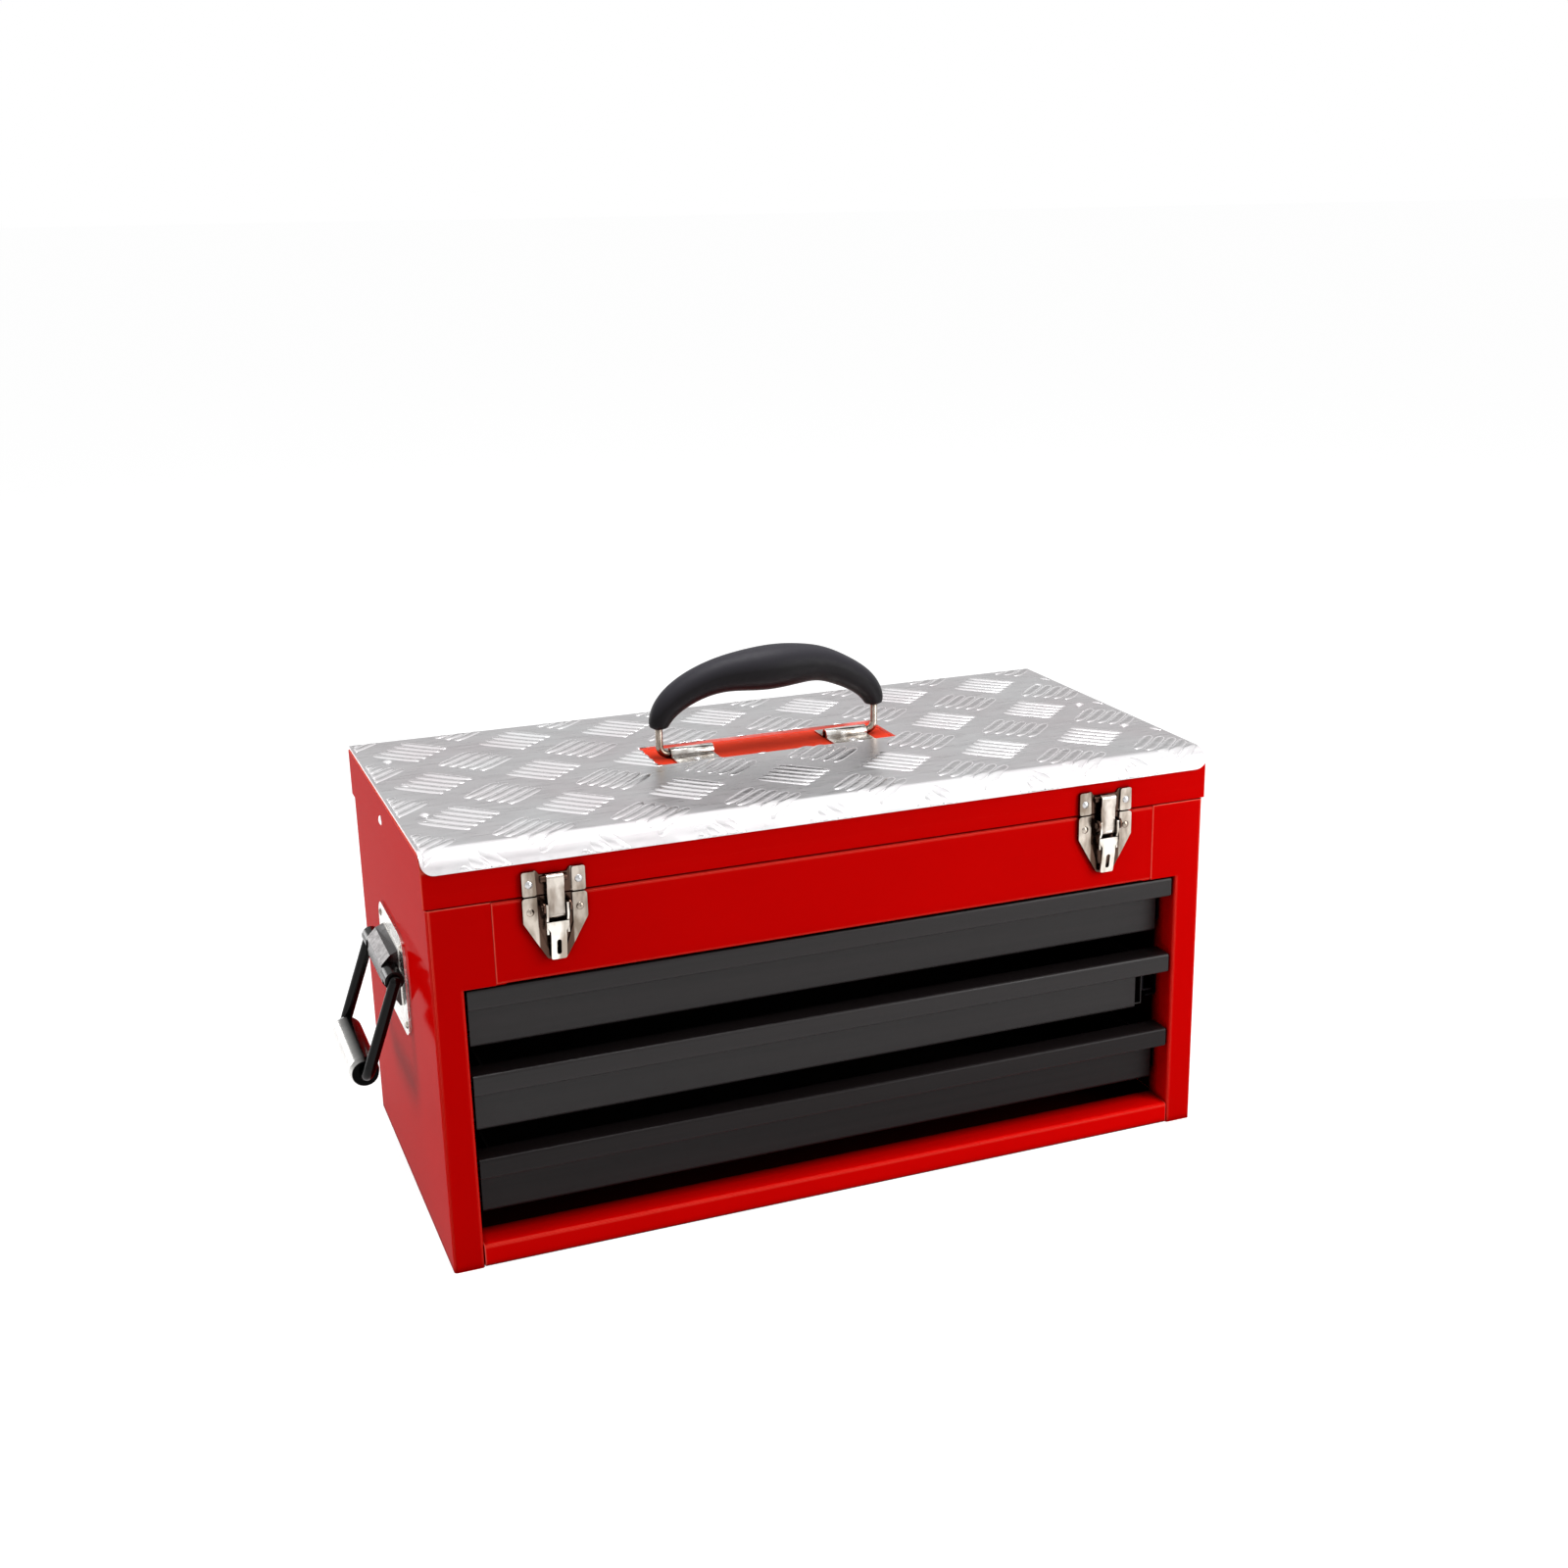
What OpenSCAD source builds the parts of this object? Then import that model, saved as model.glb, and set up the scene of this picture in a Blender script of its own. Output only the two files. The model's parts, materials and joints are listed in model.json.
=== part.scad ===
// Portable tool box with three drawers, a hinged lid over a top compartment,
// a carrying handle on the lid, side handles and two draw latches.
// Origin: centre of the footprint on the floor. X right, Y back, Z up.

/* [Case] */
// Outer width across the side walls
case_w = 520; // [480:1:600]
// Outer depth from the front plane to the back
case_d = 254; // [240:1:300]
// Height of the strip above the drawer opening
header_h = 52.1; // [50:0.1:70]
// Thickness of the case and lid sheet
sheet_t = 1.0; // [0.8:0.1:1.4]
// Width of the front posts beside the drawers
post_w = 19; // [17:0.5:24]
// Depth of the flange that turns in beside the drawers
post_return = 24; // [21:0.5:30]
// Width of the side panel's front flange beside the header
head_flange_w = 38; // [32:1:50]
// Width of the side panel's rear flange
rear_flange_w = 25; // [20:1:36]
// Height of the rail below the drawers
rail_h = 15; // [12:0.5:22]
// Depth of the ledge on top of the rail
ledge_d = 24; // [18:1:30]
// Inner radius of the sheet bends
bend_r = 1.0; // [0.6:0.1:1.6]
// Height of the folded hem along the rims
hem_h = 9; // [6:0.5:12]
// Depth of the flange that turns in below the header
header_return = 20; // [14:0.5:22]
// Depth of the rims on top of the header and the back panel
rim_d = 10; // [6:0.5:14]
// How far a strip laps the next panel behind a flush joint
lap_w = 8; // [4:0.5:10]
// Height of the flanges under the tray floor
tray_flange = 10; // [6:0.5:11]

/* [Drawers] */
// Height of a drawer front
front_h = 43; // [40:0.5:50]
// Gap between one front and the pull below it
front_gap = 12.2; // [8:0.1:16]
// Gap between the lowest front and the rail
bottom_gap = 13.4; // [8:0.1:18]
// Gap above the highest pull
top_gap = 1.5; // [1:0.1:4]
// Height of the folded lip that serves as the pull
lip_h = 13.5; // [10:0.5:18]
// How far the lip stands in front of the panel
lip_reach = 15; // [10:0.5:18]
// How far the lip stays behind the front plane
lip_inset = 1.5; // [1:0.1:3]
// Gap between the ends of a lip and the posts
lip_end_gap = 1.5; // [1:0.1:3]
// Gap between the ends of a front panel and the posts
panel_end_gap = 4; // [2:0.5:6]
// How much shorter the middle front is at its right end
middle_short = 14; // [0:1:20]
// Thickness of the drawer sheet
drawer_t = 0.8; // [0.6:0.1:1.2]
// Depth of the return at the foot of a front
front_foot = 6; // [4:0.5:8]
// Depth of the return at the lower edge of the lip
lip_fold = 4; // [3:0.5:6]
// Height of a drawer box
box_h = 34; // [31:0.5:36]
// Height of the folded rim of a drawer box
box_hem = 6; // [4:0.5:8]
// Gap between the drawer boxes and the back panel
box_back_gap = 8; // [4:1:20]
// How far a drawer slides out
drawer_travel = 160; // [100:5:165]

/* [Slides] */
// Height of the outer slide member
slide_h = 27; // [25:0.5:30]
// Width between the bracket and the drawer box
slide_w = 12; // [11:0.5:14]
// Thickness of the slide members
slide_t = 1.2; // [1:0.1:1.4]
// Diameter of the balls
ball_d = 3; // [2.5:0.1:3.4]
// Running gap of a ball to each member
ball_gap = 0.1; // [0.05:0.01:0.15]
// Thickness of the ball cage
cage_t = 0.8; // [0.6:0.1:1]
// Length of the ball cage
cage_len = 54; // [50:1:60]
// Distance from one ball to the next
ball_pitch = 11; // [8:0.5:12]
// Balls in one row
ball_count = 5; // [2:1:5]

/* [Lid] */
// Height of the lid shell
lid_h = 31.8; // [30:0.1:45]
// How far the lid stands out over the case's sides
lid_over = 1.2; // [0:0.1:2]
// Gap between the case rim and the lid
seam_gap = 0.8; // [0.4:0.1:1.2]
// Thickness of the tread plate
plate_t = 2; // [1.5:0.1:3]
// Inner radius of the plate's rounded front
nose_r = 10.5; // [8:0.5:13]
// Straight stretch below the rounded front
nose_drop = 0.6; // [0.4:0.1:3]
// How far the plate stays inside the lid's sides and back
plate_inset = 0.5; // [0.3:0.1:4]
// Radius of the plate's lower front corners
plate_corner_r = 8; // [4:0.5:10]

/* [Tread pattern] */
// Distance between groups of bars across the width
tread_pitch_x = 72; // [60:1:90]
// Distance between groups of bars across the depth
tread_pitch_y = 80; // [60:1:90]
// Length of a raised bar
bar_len = 37; // [24:1:40]
// Width of a raised bar
bar_w = 6.4; // [3:0.1:7]
// Height of a raised bar
bar_h = 0.9; // [0.5:0.1:1.5]
// Bars in a group
bar_count = 5; // [3:1:5]
// Distance from one bar to the next in a group
bar_pitch = 8; // [7:0.1:9]

/* [Carrying handle] */
// Handle centre from the middle of the lid, across the width
handle_x = 3; // [-20:1:20]
// Handle centre from the middle of the lid, across the depth
handle_y = 11; // [-10:1:20]
// Width of the cut-out in the plate
cutout_w = 170; // [166:1:220]
// Depth of the cut-out in the plate
cutout_d = 46; // [44:1:60]
// How far the cut-out's centre lies behind the handle's pivots
cutout_shift = 2; // [0:0.5:3]
// Diameter of the handle wire
wire_d = 5; // [4:0.1:6]
// Distance between the upright legs of the wire
wire_span = 155; // [124:1:155]
// Radius of the bend at the foot of a leg
wire_bend_r = 6; // [5:0.5:9]
// Height of the grip's lower ends above the pivot line
grip_base = 18; // [17:0.5:26]
// Rise of the arched grip above its lower ends
grip_rise = 36; // [24:0.5:44]
// Diameter of the grip in the middle
grip_d = 30; // [24:0.5:32]
// Diameter of the grip at its ends
grip_end_d = 14.4; // [11:0.1:14.6]
// Width of a saddle along the wire
saddle_w = 30; // [20:1:32]
// Length of a saddle across the wire
saddle_l = 38; // [34:1:42]
// Thickness of a saddle
saddle_t = 1.5; // [1:0.1:1.8]

/* [Hinge] */
// Distance from the hinge's ends to the sides
hinge_inset = 15; // [10:1:60]
// Outer radius of a knuckle
knuckle_r = 2.6; // [2.4:0.1:3.2]
// Radius of the hinge pin
hinge_pin_r = 1.2; // [1:0.05:1.4]
// Height of a hinge leaf from the pin
leaf_h = 15; // [12:0.5:20]
// Knuckles of both leaves together
knuckle_count = 25; // [9:2:31]

/* [Latches] */
// Distance from a latch's centre to the side
latch_inset = 75.5; // [65:0.5:140]
// Half the width of a latch
latch_half_w = 19.5; // [18:0.5:21]
// Height of the latch base above its nose
latch_base_h = 40.5; // [38:0.5:42]
// Height of the strike plate on the lid
strike_h = 15; // [13:0.5:16]
// Thickness of the latch plates
latch_t = 1.2; // [1:0.1:1.4]
// Half the width of the hook strap
strap_half_w = 5.2; // [4:0.1:5.2]

/* [Side handles] */
// Side handle centre from the middle of the side, towards the back
side_y = 4; // [-20:1:30]
// Height of the side handle's plate centre
side_z = 153; // [120:1:160]
// Width of the side handle's plate
side_plate_w = 88; // [86:1:110]
// Height of the side handle's plate
side_plate_h = 68; // [60:1:76]
// Diameter of the side handle's bail
bail_d = 7.5; // [6:0.1:9]
// Distance between the bail's arms
bail_span = 92; // [88:1:100]
// Distance from the bail's pivot to the grip
bail_drop = 65; // [56:1:80]
// Angle at which the bail hangs
bail_angle = 20; // [15:1:40]
// Diameter of the side grip
side_grip_d = 19; // [14:0.5:20]

/* [Lid stays] */
// Width of the stay arms
stay_w = 12; // [10:0.5:14]
// Thickness of the stay arms
stay_t = 1.5; // [1:0.1:1.6]
// Distance from the hinge line to the stud in the lid
stay_long = 125; // [110:1:135]
// Distance between the two pivots of the upper arm
stay_short = 50; // [44:1:54]

/* [Hidden] */
$fn = 48;

// Colours of the parts
red = [0.72, 0.02, 0.02];
anthracite = [0.15, 0.15, 0.16];
tread_grey = [0.78, 0.78, 0.77];
nickel = [0.75, 0.72, 0.67];
zinc = [0.35, 0.35, 0.37];
black = [0.05, 0.05, 0.055];
ball_steel = [0.85, 0.85, 0.87];

// Running clearances
fit = 0.08; // pin in its bore, on the radius
gap = 0.3; // between parts that move past each other
sink = 0.3; // how deep a raised detail reaches into its plate

// Case
joint_gap = 0.2; // visible gap where two panels meet flush
lap_root = 6; // width of such a joint's strip on its own panel
rim_end_gap = 4; // from the ends of the folded rims to the front and back
floor_lap = 20; // from the rail's ledge to the rear edge of its foot
ledge_fold = 6; // return at the rear of the ledge
post_gap = 0.5; // between the posts' flanges and the floors
tray_end_gap = 12; // from the tray floor's side flanges to the back
bracket_drop = 12; // from the opening's upper edge to the rear brackets
box_lap = 2; // how far the box's front wall is folded in under its floor
box_front_inset = 8; // from the box's sides to the ends of its front wall

// Heights of the case
opening_top = rail_h + bottom_gap + 3 * front_h + 2 * front_gap + top_gap;
case_top = opening_top + header_h;
lid_z = case_top + seam_gap;
lid_top = lid_z + lid_h;
front_y = -case_d / 2;
back_y = case_d / 2;
inner_x = case_w / 2 - sheet_t; // inner face of the side walls
opening_x = case_w / 2 - post_w; // half the width of the drawer opening
lid_half = case_w / 2 + lid_over; // half the width of the lid

// Drawers are counted from the top
function front_bottom(i) = rail_h + bottom_gap + (3 - i) * (front_h + front_gap);
panel_y = front_y + lip_inset + lip_reach; // front face of the drawer panels
box_front_y = panel_y + sheet_t; // front face of the drawer boxes
box_back_y = back_y - sheet_t - box_back_gap;
box_x = opening_x - slide_w; // half the width of a drawer box
box_lift = 2; // from the front's lower edge to the box floor

// Slides
slide_lift = front_h / 2 - 1.5; // slide centre above the front's lower edge
slide_y0 = box_front_y + 1.5;
slide_y1 = box_back_y - 8;
slide_in_h = slide_h - 2 * (slide_t + ball_d + 2 * ball_gap); // height of the inner member
slide_flange = slide_w - 3.6; // reach of the members' flanges
ball_x = opening_x - slide_w / 2; // distance of the ball rows from the middle
bracket_y0 = slide_y1 - 18; // front edge of the rear bracket's crown
bracket_crown = 16;
bracket_foot = 8;

// Hinge line
hinge_len = case_w - 2 * hinge_inset;
hinge_y = back_y + gap + knuckle_r;
hinge_z = (case_top + lid_z) / 2;
leaf_t = 1.0;

// Carrying handle
handle_pivot_z = lid_top + wire_d / 2 + gap;
foot_reach = 30; // length of the wire's foot towards the middle
grip_shape = 0.9; // below 1 makes the arch squarer than an ellipse
grip_steps = 30;

// Latch: offsets are measured forward from the front plane, heights from the lid's edge
latch_x = case_w / 2 - latch_inset;
latch_top = lid_z - 0.9; // upper edge of the latch base
strike_z = lid_z + 0.1; // lower edge of the strike
latch_rim_h = latch_t + 1.4; // height of the raised rims of base and strike
latch_pocket = 10.6; // half the width between the raised rims
lever_pin_o = 6.5;
lever_pin_z = lid_z - 6.7;
hook_pin_a = 6; // distance between lever pivot and hook pin
hook_pin_dir = 248; // direction of the hook pin seen from the lever pivot
hook_pin_o = lever_pin_o + hook_pin_a * cos(hook_pin_dir);
hook_pin_z = lever_pin_z + hook_pin_a * sin(hook_pin_dir);
latch_pin_r = 1.1;
hook_eye_r = 1.9 + (latch_t - 1.2) / 2;
cheek_in = strap_half_w + 0.4;
cheek_out = cheek_in + latch_t;
ear_in = cheek_out + 0.4;
ear_out = ear_in + latch_t;
ridge_r = 2.2; // radius of the strike's rolled ridge

// Side handles
side_pivot_o = 8; // distance of the bail's pivot from the wall
side_pivot_z = side_z + 8;
side_plate_t = 1.5;
side_rivet_edge = 8; // from a rivet to the plate's edges
housing_half = 27; // half the length of the housing that carries the bail
housing_t = 1.5;
housing_o = side_pivot_o + 5; // how far the housing stands out
hollow_o = housing_o - housing_t;
stub_d = 5;
bail_knuckle_r = 6; // radius of the bail's knuckles

// Lid stays: places are measured forward and up from the hinge line
stay_lid_dir = 7.5; // direction of the lid stud seen from the hinge line
stay_case_dir = -60; // direction of the case stud seen from the hinge line
stay_lid_p = stay_long * [cos(stay_lid_dir), sin(stay_lid_dir)];
stay_case_p = stay_short * [cos(stay_case_dir), sin(stay_case_dir)];
stay_knee_p = stay_lid_p + stay_case_p;
stay_lower_x = inner_x - sheet_t - 0.9; // outer face of the lower arm
stay_upper_x = stay_lower_x - stay_t - 0.4; // outer face of the upper arm
stud_r = 2;

// ---------------------------------------------------------------- helpers

function unit(v) = v / norm(v);
function turned(v, a) = [v.x * cos(a) - v.y * sin(a), v.x * sin(a) + v.y * cos(a)];
function turns_left(a, b, c) = (b.x - a.x) * (c.y - b.y) - (b.y - a.y) * (c.x - b.x) > 0;

// Points of the arc of radius r that replaces the corner b between a and c
function corner(a, b, c, r, n) =
    let (u = unit(a - b), v = unit(c - b), half = acos(u * v) / 2)
    let (centre = b + unit(u + v) * (r / sin(half)), from = b + u * (r / tan(half)) - centre)
    let (sweep = (180 - 2 * half) * (turns_left(a, b, c) ? 1 : -1))
    [for (i = [0 : n]) centre + turned(from, sweep * i / n)];

// A closed outline whose corners all get the radius r
function rounded(p, r, n = 5) =
    let (m = len(p))
    [for (i = [0 : m - 1]) each corner(p[(i + m - 1) % m], p[i], p[(i + 1) % m], r, n)];

function left_normal(a, b) = let (d = unit(b - a)) [-d.y, d.x];
function miter(p, i) =
    i == 0 ? left_normal(p[0], p[1]) :
    i == len(p) - 1 ? left_normal(p[i - 1], p[i]) :
    let (m = left_normal(p[i - 1], p[i]) + left_normal(p[i], p[i + 1])) 2 * m / (m * m);

// One face of a bent sheet: side is 1 for the left face and -1 for the right one
function sheet_face(p, t, r, side, n) =
    let (q = [for (i = [0 : len(p) - 1]) p[i] + side * t / 2 * miter(p, i)])
    [for (i = [0 : len(q) - 1]) each
        (i == 0 || i == len(q) - 1) ? [q[i]] :
        corner(q[i - 1], q[i], q[i + 1], turns_left(p[i - 1], p[i], p[i + 1]) == (side > 0) ? r : r + t, n)];
function reversed(p) = [for (i = [len(p) - 1 : -1 : 0]) p[i]];

// Section of a sheet of thickness t that follows the middle line p
module sheet(p, t = sheet_t, r = bend_r, n = 4)
    polygon(concat(sheet_face(p, t, r, 1, n), reversed(sheet_face(p, t, r, -1, n))));

// A section drawn in (y, z) that runs along X
module along_x(x0, x1) translate([x0, 0, 0]) rotate([90, 0, 90]) linear_extrude(x1 - x0) children();

// A section drawn in (x, z) that runs along Y
module along_y(y0, y1) translate([0, y1, 0]) rotate([90, 0, 0]) linear_extrude(y1 - y0) children();

// A section drawn in (x, y) that runs along Z
module along_z(z0, z1) translate([0, 0, z0]) linear_extrude(z1 - z0) children();

module block(a, b) translate(a) cube(b - a);

// Keeps the shape on the right or mirrors it to the left
module on_side(side) mirror([side == "left" ? 1 : 0, 0, 0]) children();
module both_sides() {
    children();
    mirror([1, 0, 0]) children();
}

// Cylinder along X, Y
module rod_x(x0, x1, y, z, r) translate([x0, y, z]) rotate([0, 90, 0]) cylinder(h = x1 - x0, r = r);
module rod_y(y0, y1, x, z, r) translate([x, y1, z]) rotate([90, 0, 0]) cylinder(h = y1 - y0, r = r);

// Domed rivet head that stands on z = 0 and points up
module rivet_head(r = 3, h = 1.3) {
    dome_r = (r * r + h * h) / (2 * h);
    intersection() {
        translate([0, 0, h - dome_r]) sphere(r = dome_r);
        cylinder(h = h, r = r);
    }
}

// Tube of radii ra (along side) and rb around the points of a flat path
module flat_tube(p, ra, rb, side, n) {
    m = len(p);
    dirs = [for (i = [0 : m - 1]) unit(p[min(i + 1, m - 1)] - p[max(i - 1, 0)])];
    pts = [for (i = [0 : m - 1]) for (k = [0 : n - 1])
        p[i] + side * ra[i] * cos(360 * k / n) + cross(dirs[i], side) * rb[i] * sin(360 * k / n)];
    walls = [for (i = [0 : m - 2]) for (k = [0 : n - 1])
        let (a = i * n + k, b = i * n + (k + 1) % n, c = b + n, d = a + n) each [[a, d, c], [a, c, b]]];
    start = [for (k = [1 : n - 2]) [0, k, k + 1]];
    end = [for (k = [1 : n - 2]) [(m - 1) * n, (m - 1) * n + k + 1, (m - 1) * n + k]];
    polyhedron(points = pts, faces = concat(walls, start, end), convexity = 6);
}

// ---------------------------------------------------------------- case

module side_panel(side) color(red) on_side(side) {
    wall_x = case_w / 2 - sheet_t / 2;
    y0 = front_y + sheet_t / 2;
    y1 = back_y - sheet_t / 2;
    rear = [case_w / 2 - rear_flange_w, y1];
    post_x = opening_x + sheet_t / 2;
    along_z(0, opening_top)
        sheet([rear, [wall_x, y1], [wall_x, y0], [post_x, y0], [post_x, front_y + post_return]]);
    along_z(opening_top, case_top)
        sheet([rear, [wall_x, y1], [wall_x, y0], [case_w / 2 - head_flange_w, y0]]);
    // rim folded back inside
    block([inner_x - sheet_t, front_y + rim_end_gap, case_top - hem_h],
          [wall_x, back_y - rim_end_gap, case_top]);
}
module side_panel_left() side_panel("left");
module side_panel_right() side_panel("right");

// Strip behind a flush joint at x: rooted in its own panel, it laps the next one.
// face is the hidden side of both panels, way is 1 where the strip lies behind it.
module lap_strip(x, face, way, z0, z1) {
    root = face - way * sheet_t / 2;
    far = face + way * sheet_t;
    block([x - lap_root, min(root, far), z0], [x, max(root, far), z1]);
    block([x - lap_root, min(face, far), z0], [x + lap_w, max(face, far), z1]);
}

module header_panel() color(red) {
    half = case_w / 2 - head_flange_w - joint_gap;
    z0 = opening_top + sheet_t / 2;
    z1 = case_top - sheet_t / 2;
    y0 = front_y + sheet_t / 2;
    return_y = front_y + header_return;
    along_x(-half, half) sheet([[return_y, z0], [y0, z0], [y0, z1], [front_y + rim_d, z1]]);
    both_sides() {
        lap_strip(half, front_y + sheet_t, 1, opening_top, case_top - 2 * sheet_t);
        block([half - lap_root, front_y + sheet_t, opening_top],
              [opening_x - joint_gap, return_y, opening_top + sheet_t]);
    }
}

module back_panel() color(red) {
    half = case_w / 2 - rear_flange_w - joint_gap;
    y1 = back_y - sheet_t / 2;
    z1 = case_top - sheet_t / 2;
    along_x(-half, half) sheet([[y1, 0], [y1, z1], [back_y - rim_d, z1]]);
    both_sides() lap_strip(half, back_y - sheet_t, -1, 2 * sheet_t, case_top - 2 * sheet_t);
}

module base_panel() color(red) {
    half = opening_x - joint_gap;
    y0 = front_y + sheet_t / 2;
    top = rail_h - sheet_t / 2;
    ledge_y = front_y + ledge_d - sheet_t;
    along_x(-half, half)
        sheet([[front_y + ledge_d + floor_lap, sheet_t / 2], [y0, sheet_t / 2], [y0, top],
               [ledge_y, top], [ledge_y, top - ledge_fold]]);
    floor_y = front_y + post_return + post_gap;
    pan_back = back_y - 3 * sheet_t;
    pan_h = rail_h - sheet_t;
    block([-inner_x, floor_y, 0], [inner_x, pan_back + sheet_t, sheet_t]);
    block([-half, front_y + floor_lap / 2, 0], [half, floor_y + post_gap, sheet_t]);
    block([-half, pan_back, 0], [half, pan_back + sheet_t, pan_h]);
    both_sides() block([inner_x - sheet_t, floor_y, 0], [inner_x, pan_back - rim_end_gap, pan_h]);
}

module tray_floor() color(red) {
    z0 = opening_top + sheet_t;
    tray_y = front_y + 3 * sheet_t + joint_gap;
    tray_back = back_y - 2 * sheet_t;
    low = z0 - tray_flange;
    flange_x = case_w / 2 - rear_flange_w + lap_w;
    block([-inner_x, tray_y, z0], [inner_x, tray_back, z0 + sheet_t]);
    both_sides()
        block([inner_x - sheet_t, front_y + post_return + 2 * sheet_t, low],
              [inner_x, back_y - tray_end_gap, z0 + sheet_t]);
    block([-flange_x, tray_back - sheet_t, low], [flange_x, tray_back, z0 + sheet_t]);
}

module slide_bracket(side) color(red) on_side(side) {
    foot_x = inner_x - sheet_t / 2;
    crown_x = opening_x + sheet_t / 2;
    y0 = bracket_y0;
    y1 = bracket_y0 + bracket_crown;
    along_z(rail_h, opening_top - bracket_drop)
        sheet([[foot_x, y0 - bracket_foot], [foot_x, y0], [crown_x, y0],
               [crown_x, y1], [foot_x, y1], [foot_x, y1 + bracket_foot]]);
}
module slide_bracket_left() slide_bracket("left");
module slide_bracket_right() slide_bracket("right");

// Outer slide members of a drawer: channels that open towards the drawer
module slides_outer(i) color(zinc) {
    zc = front_bottom(i) + slide_lift;
    x0 = opening_x - slide_flange;
    x1 = opening_x - slide_t / 2;
    z = slide_h / 2 - slide_t / 2;
    both_sides() along_y(slide_y0, slide_y1) translate([0, zc])
        sheet([[x0, z], [x1, z], [x1, -z], [x0, -z]], t = slide_t);
}
module slides_outer_1() slides_outer(1);
module slides_outer_2() slides_outer(2);
module slides_outer_3() slides_outer(3);

// ---------------------------------------------------------------- drawers

module slides_inner(i) color(zinc) {
    zc = front_bottom(i) + slide_lift;
    x0 = box_x + slide_t / 2;
    x1 = box_x + slide_flange;
    z = slide_in_h / 2 - slide_t / 2;
    both_sides() along_y(slide_y0 - 0.5, slide_y1 - 2) translate([0, zc])
        sheet([[x1, z], [x0, z], [x0, -z], [x1, -z]], t = slide_t);
}
module slides_inner_1() slides_inner(1);
module slides_inner_2() slides_inner(2);
module slides_inner_3() slides_inner(3);

// Ball cages: the balls sit in holes of the upper and lower strips
module ball_cages(i) {
    zc = front_bottom(i) + slide_lift;
    row_z = slide_h / 2 - slide_t - ball_gap - ball_d / 2;
    yc = slide_y0 + drawer_travel / 2 + cage_len / 2 + 2;
    x0 = ball_x - ball_d / 2 - 0.5;
    x1 = opening_x - slide_t - 0.8 - cage_t / 2;
    both_sides() {
        color(nickel) difference() {
            along_y(yc - cage_len / 2, yc + cage_len / 2) translate([0, zc])
                sheet([[x0, row_z], [x1, row_z], [x1, -row_z], [x0, -row_z]], t = cage_t, r = 0.5);
            for (k = [0 : ball_count - 1], s = [-1, 1])
                translate([ball_x, yc + (k - (ball_count - 1) / 2) * ball_pitch, zc + s * row_z - cage_t])
                    cylinder(h = 2 * cage_t, r = ball_d / 2 + 0.05);
        }
        color(ball_steel) for (k = [0 : ball_count - 1], s = [-1, 1])
            translate([ball_x, yc + (k - (ball_count - 1) / 2) * ball_pitch, zc + s * row_z])
                sphere(d = ball_d);
    }
}
module ball_cages_1() ball_cages(1);
module ball_cages_2() ball_cages(2);
module ball_cages_3() ball_cages(3);

module drawer_box(i) color(anthracite) {
    z0 = front_bottom(i) + box_lift;
    z1 = z0 + box_h;
    t = drawer_t;
    wall_x = box_x - box_front_inset;
    block([-box_x, box_front_y + t, z0], [box_x, box_back_y, z0 + t]);
    block([-box_x, box_back_y - t, z0], [box_x, box_back_y, z1]);
    block([-wall_x, box_front_y, z0], [wall_x, box_front_y + t, z1]);
    block([-wall_x, box_front_y, z0], [wall_x, box_front_y + box_lap, z0 + t]);
    both_sides() {
        block([box_x - t, box_front_y + t, z0], [box_x, box_back_y, z1]);
        // folded rim
        block([box_x - 2 * t, box_front_y + box_lap, z1 - box_hem],
              [box_x - t / 2, box_back_y - t / 2, z1]);
    }
}
module drawer_box_1() drawer_box(1);
module drawer_box_2() drawer_box(2);
module drawer_box_3() drawer_box(3);

// Drawer front: flat panel with a full-width lip folded forward and down as the pull
module drawer_front(i) color(anthracite) {
    z0 = front_bottom(i) + sheet_t / 2;
    z1 = front_bottom(i) + front_h - sheet_t / 2;
    lip_y = front_y + lip_inset + sheet_t / 2;
    back = panel_y + sheet_t / 2;
    lip_x = opening_x - lip_end_gap;
    panel_x = opening_x - panel_end_gap;
    lip_low = z1 + sheet_t - lip_h;
    along_x(-panel_x, panel_x - (i == 2 ? middle_short : 0))
        sheet([[back + front_foot, z0], [back, z0], [back, z1 + sheet_t / 2]]);
    along_x(-lip_x, lip_x)
        sheet([[back + sheet_t / 2, z1], [lip_y, z1], [lip_y, lip_low], [lip_y + lip_fold, lip_low]]);
}
module drawer_front_1() drawer_front(1);
module drawer_front_2() drawer_front(2);
module drawer_front_3() drawer_front(3);

// ---------------------------------------------------------------- hinge

knuckle_len = hinge_len / knuckle_count;
knuckle_gap = 0.3;
function knuckle_x(k) = -hinge_len / 2 + k * knuckle_len;

// One leaf: way is -1 for the case's leaf below the pin and 1 for the lid's above it.
// first is the index of its first knuckle.
module hinge_leaf(way, first) color(zinc) {
    edge = knuckle_r + gap;
    difference() {
        union() {
            block([-hinge_len / 2, back_y, hinge_z + (way < 0 ? -leaf_h : edge)],
                  [hinge_len / 2, back_y + leaf_t, hinge_z + (way < 0 ? -edge : leaf_h)]);
            for (k = [first : 2 : knuckle_count - 1]) {
                x0 = knuckle_x(k) + knuckle_gap / 2;
                x1 = knuckle_x(k + 1) - knuckle_gap / 2;
                block([x0, back_y, hinge_z + (way < 0 ? -edge - 1 : 0.2)],
                      [x1, back_y + leaf_t, hinge_z + (way < 0 ? -0.2 : edge + 1)]);
                rod_x(x0, x1, hinge_y, hinge_z, knuckle_r);
            }
        }
        rod_x(-hinge_len / 2 - 1, hinge_len / 2 + 1, hinge_y, hinge_z, hinge_pin_r + fit);
    }
}
module hinge_leaf_case() hinge_leaf(-1, 0);
module hinge_leaf_lid() hinge_leaf(1, 1);

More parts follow.
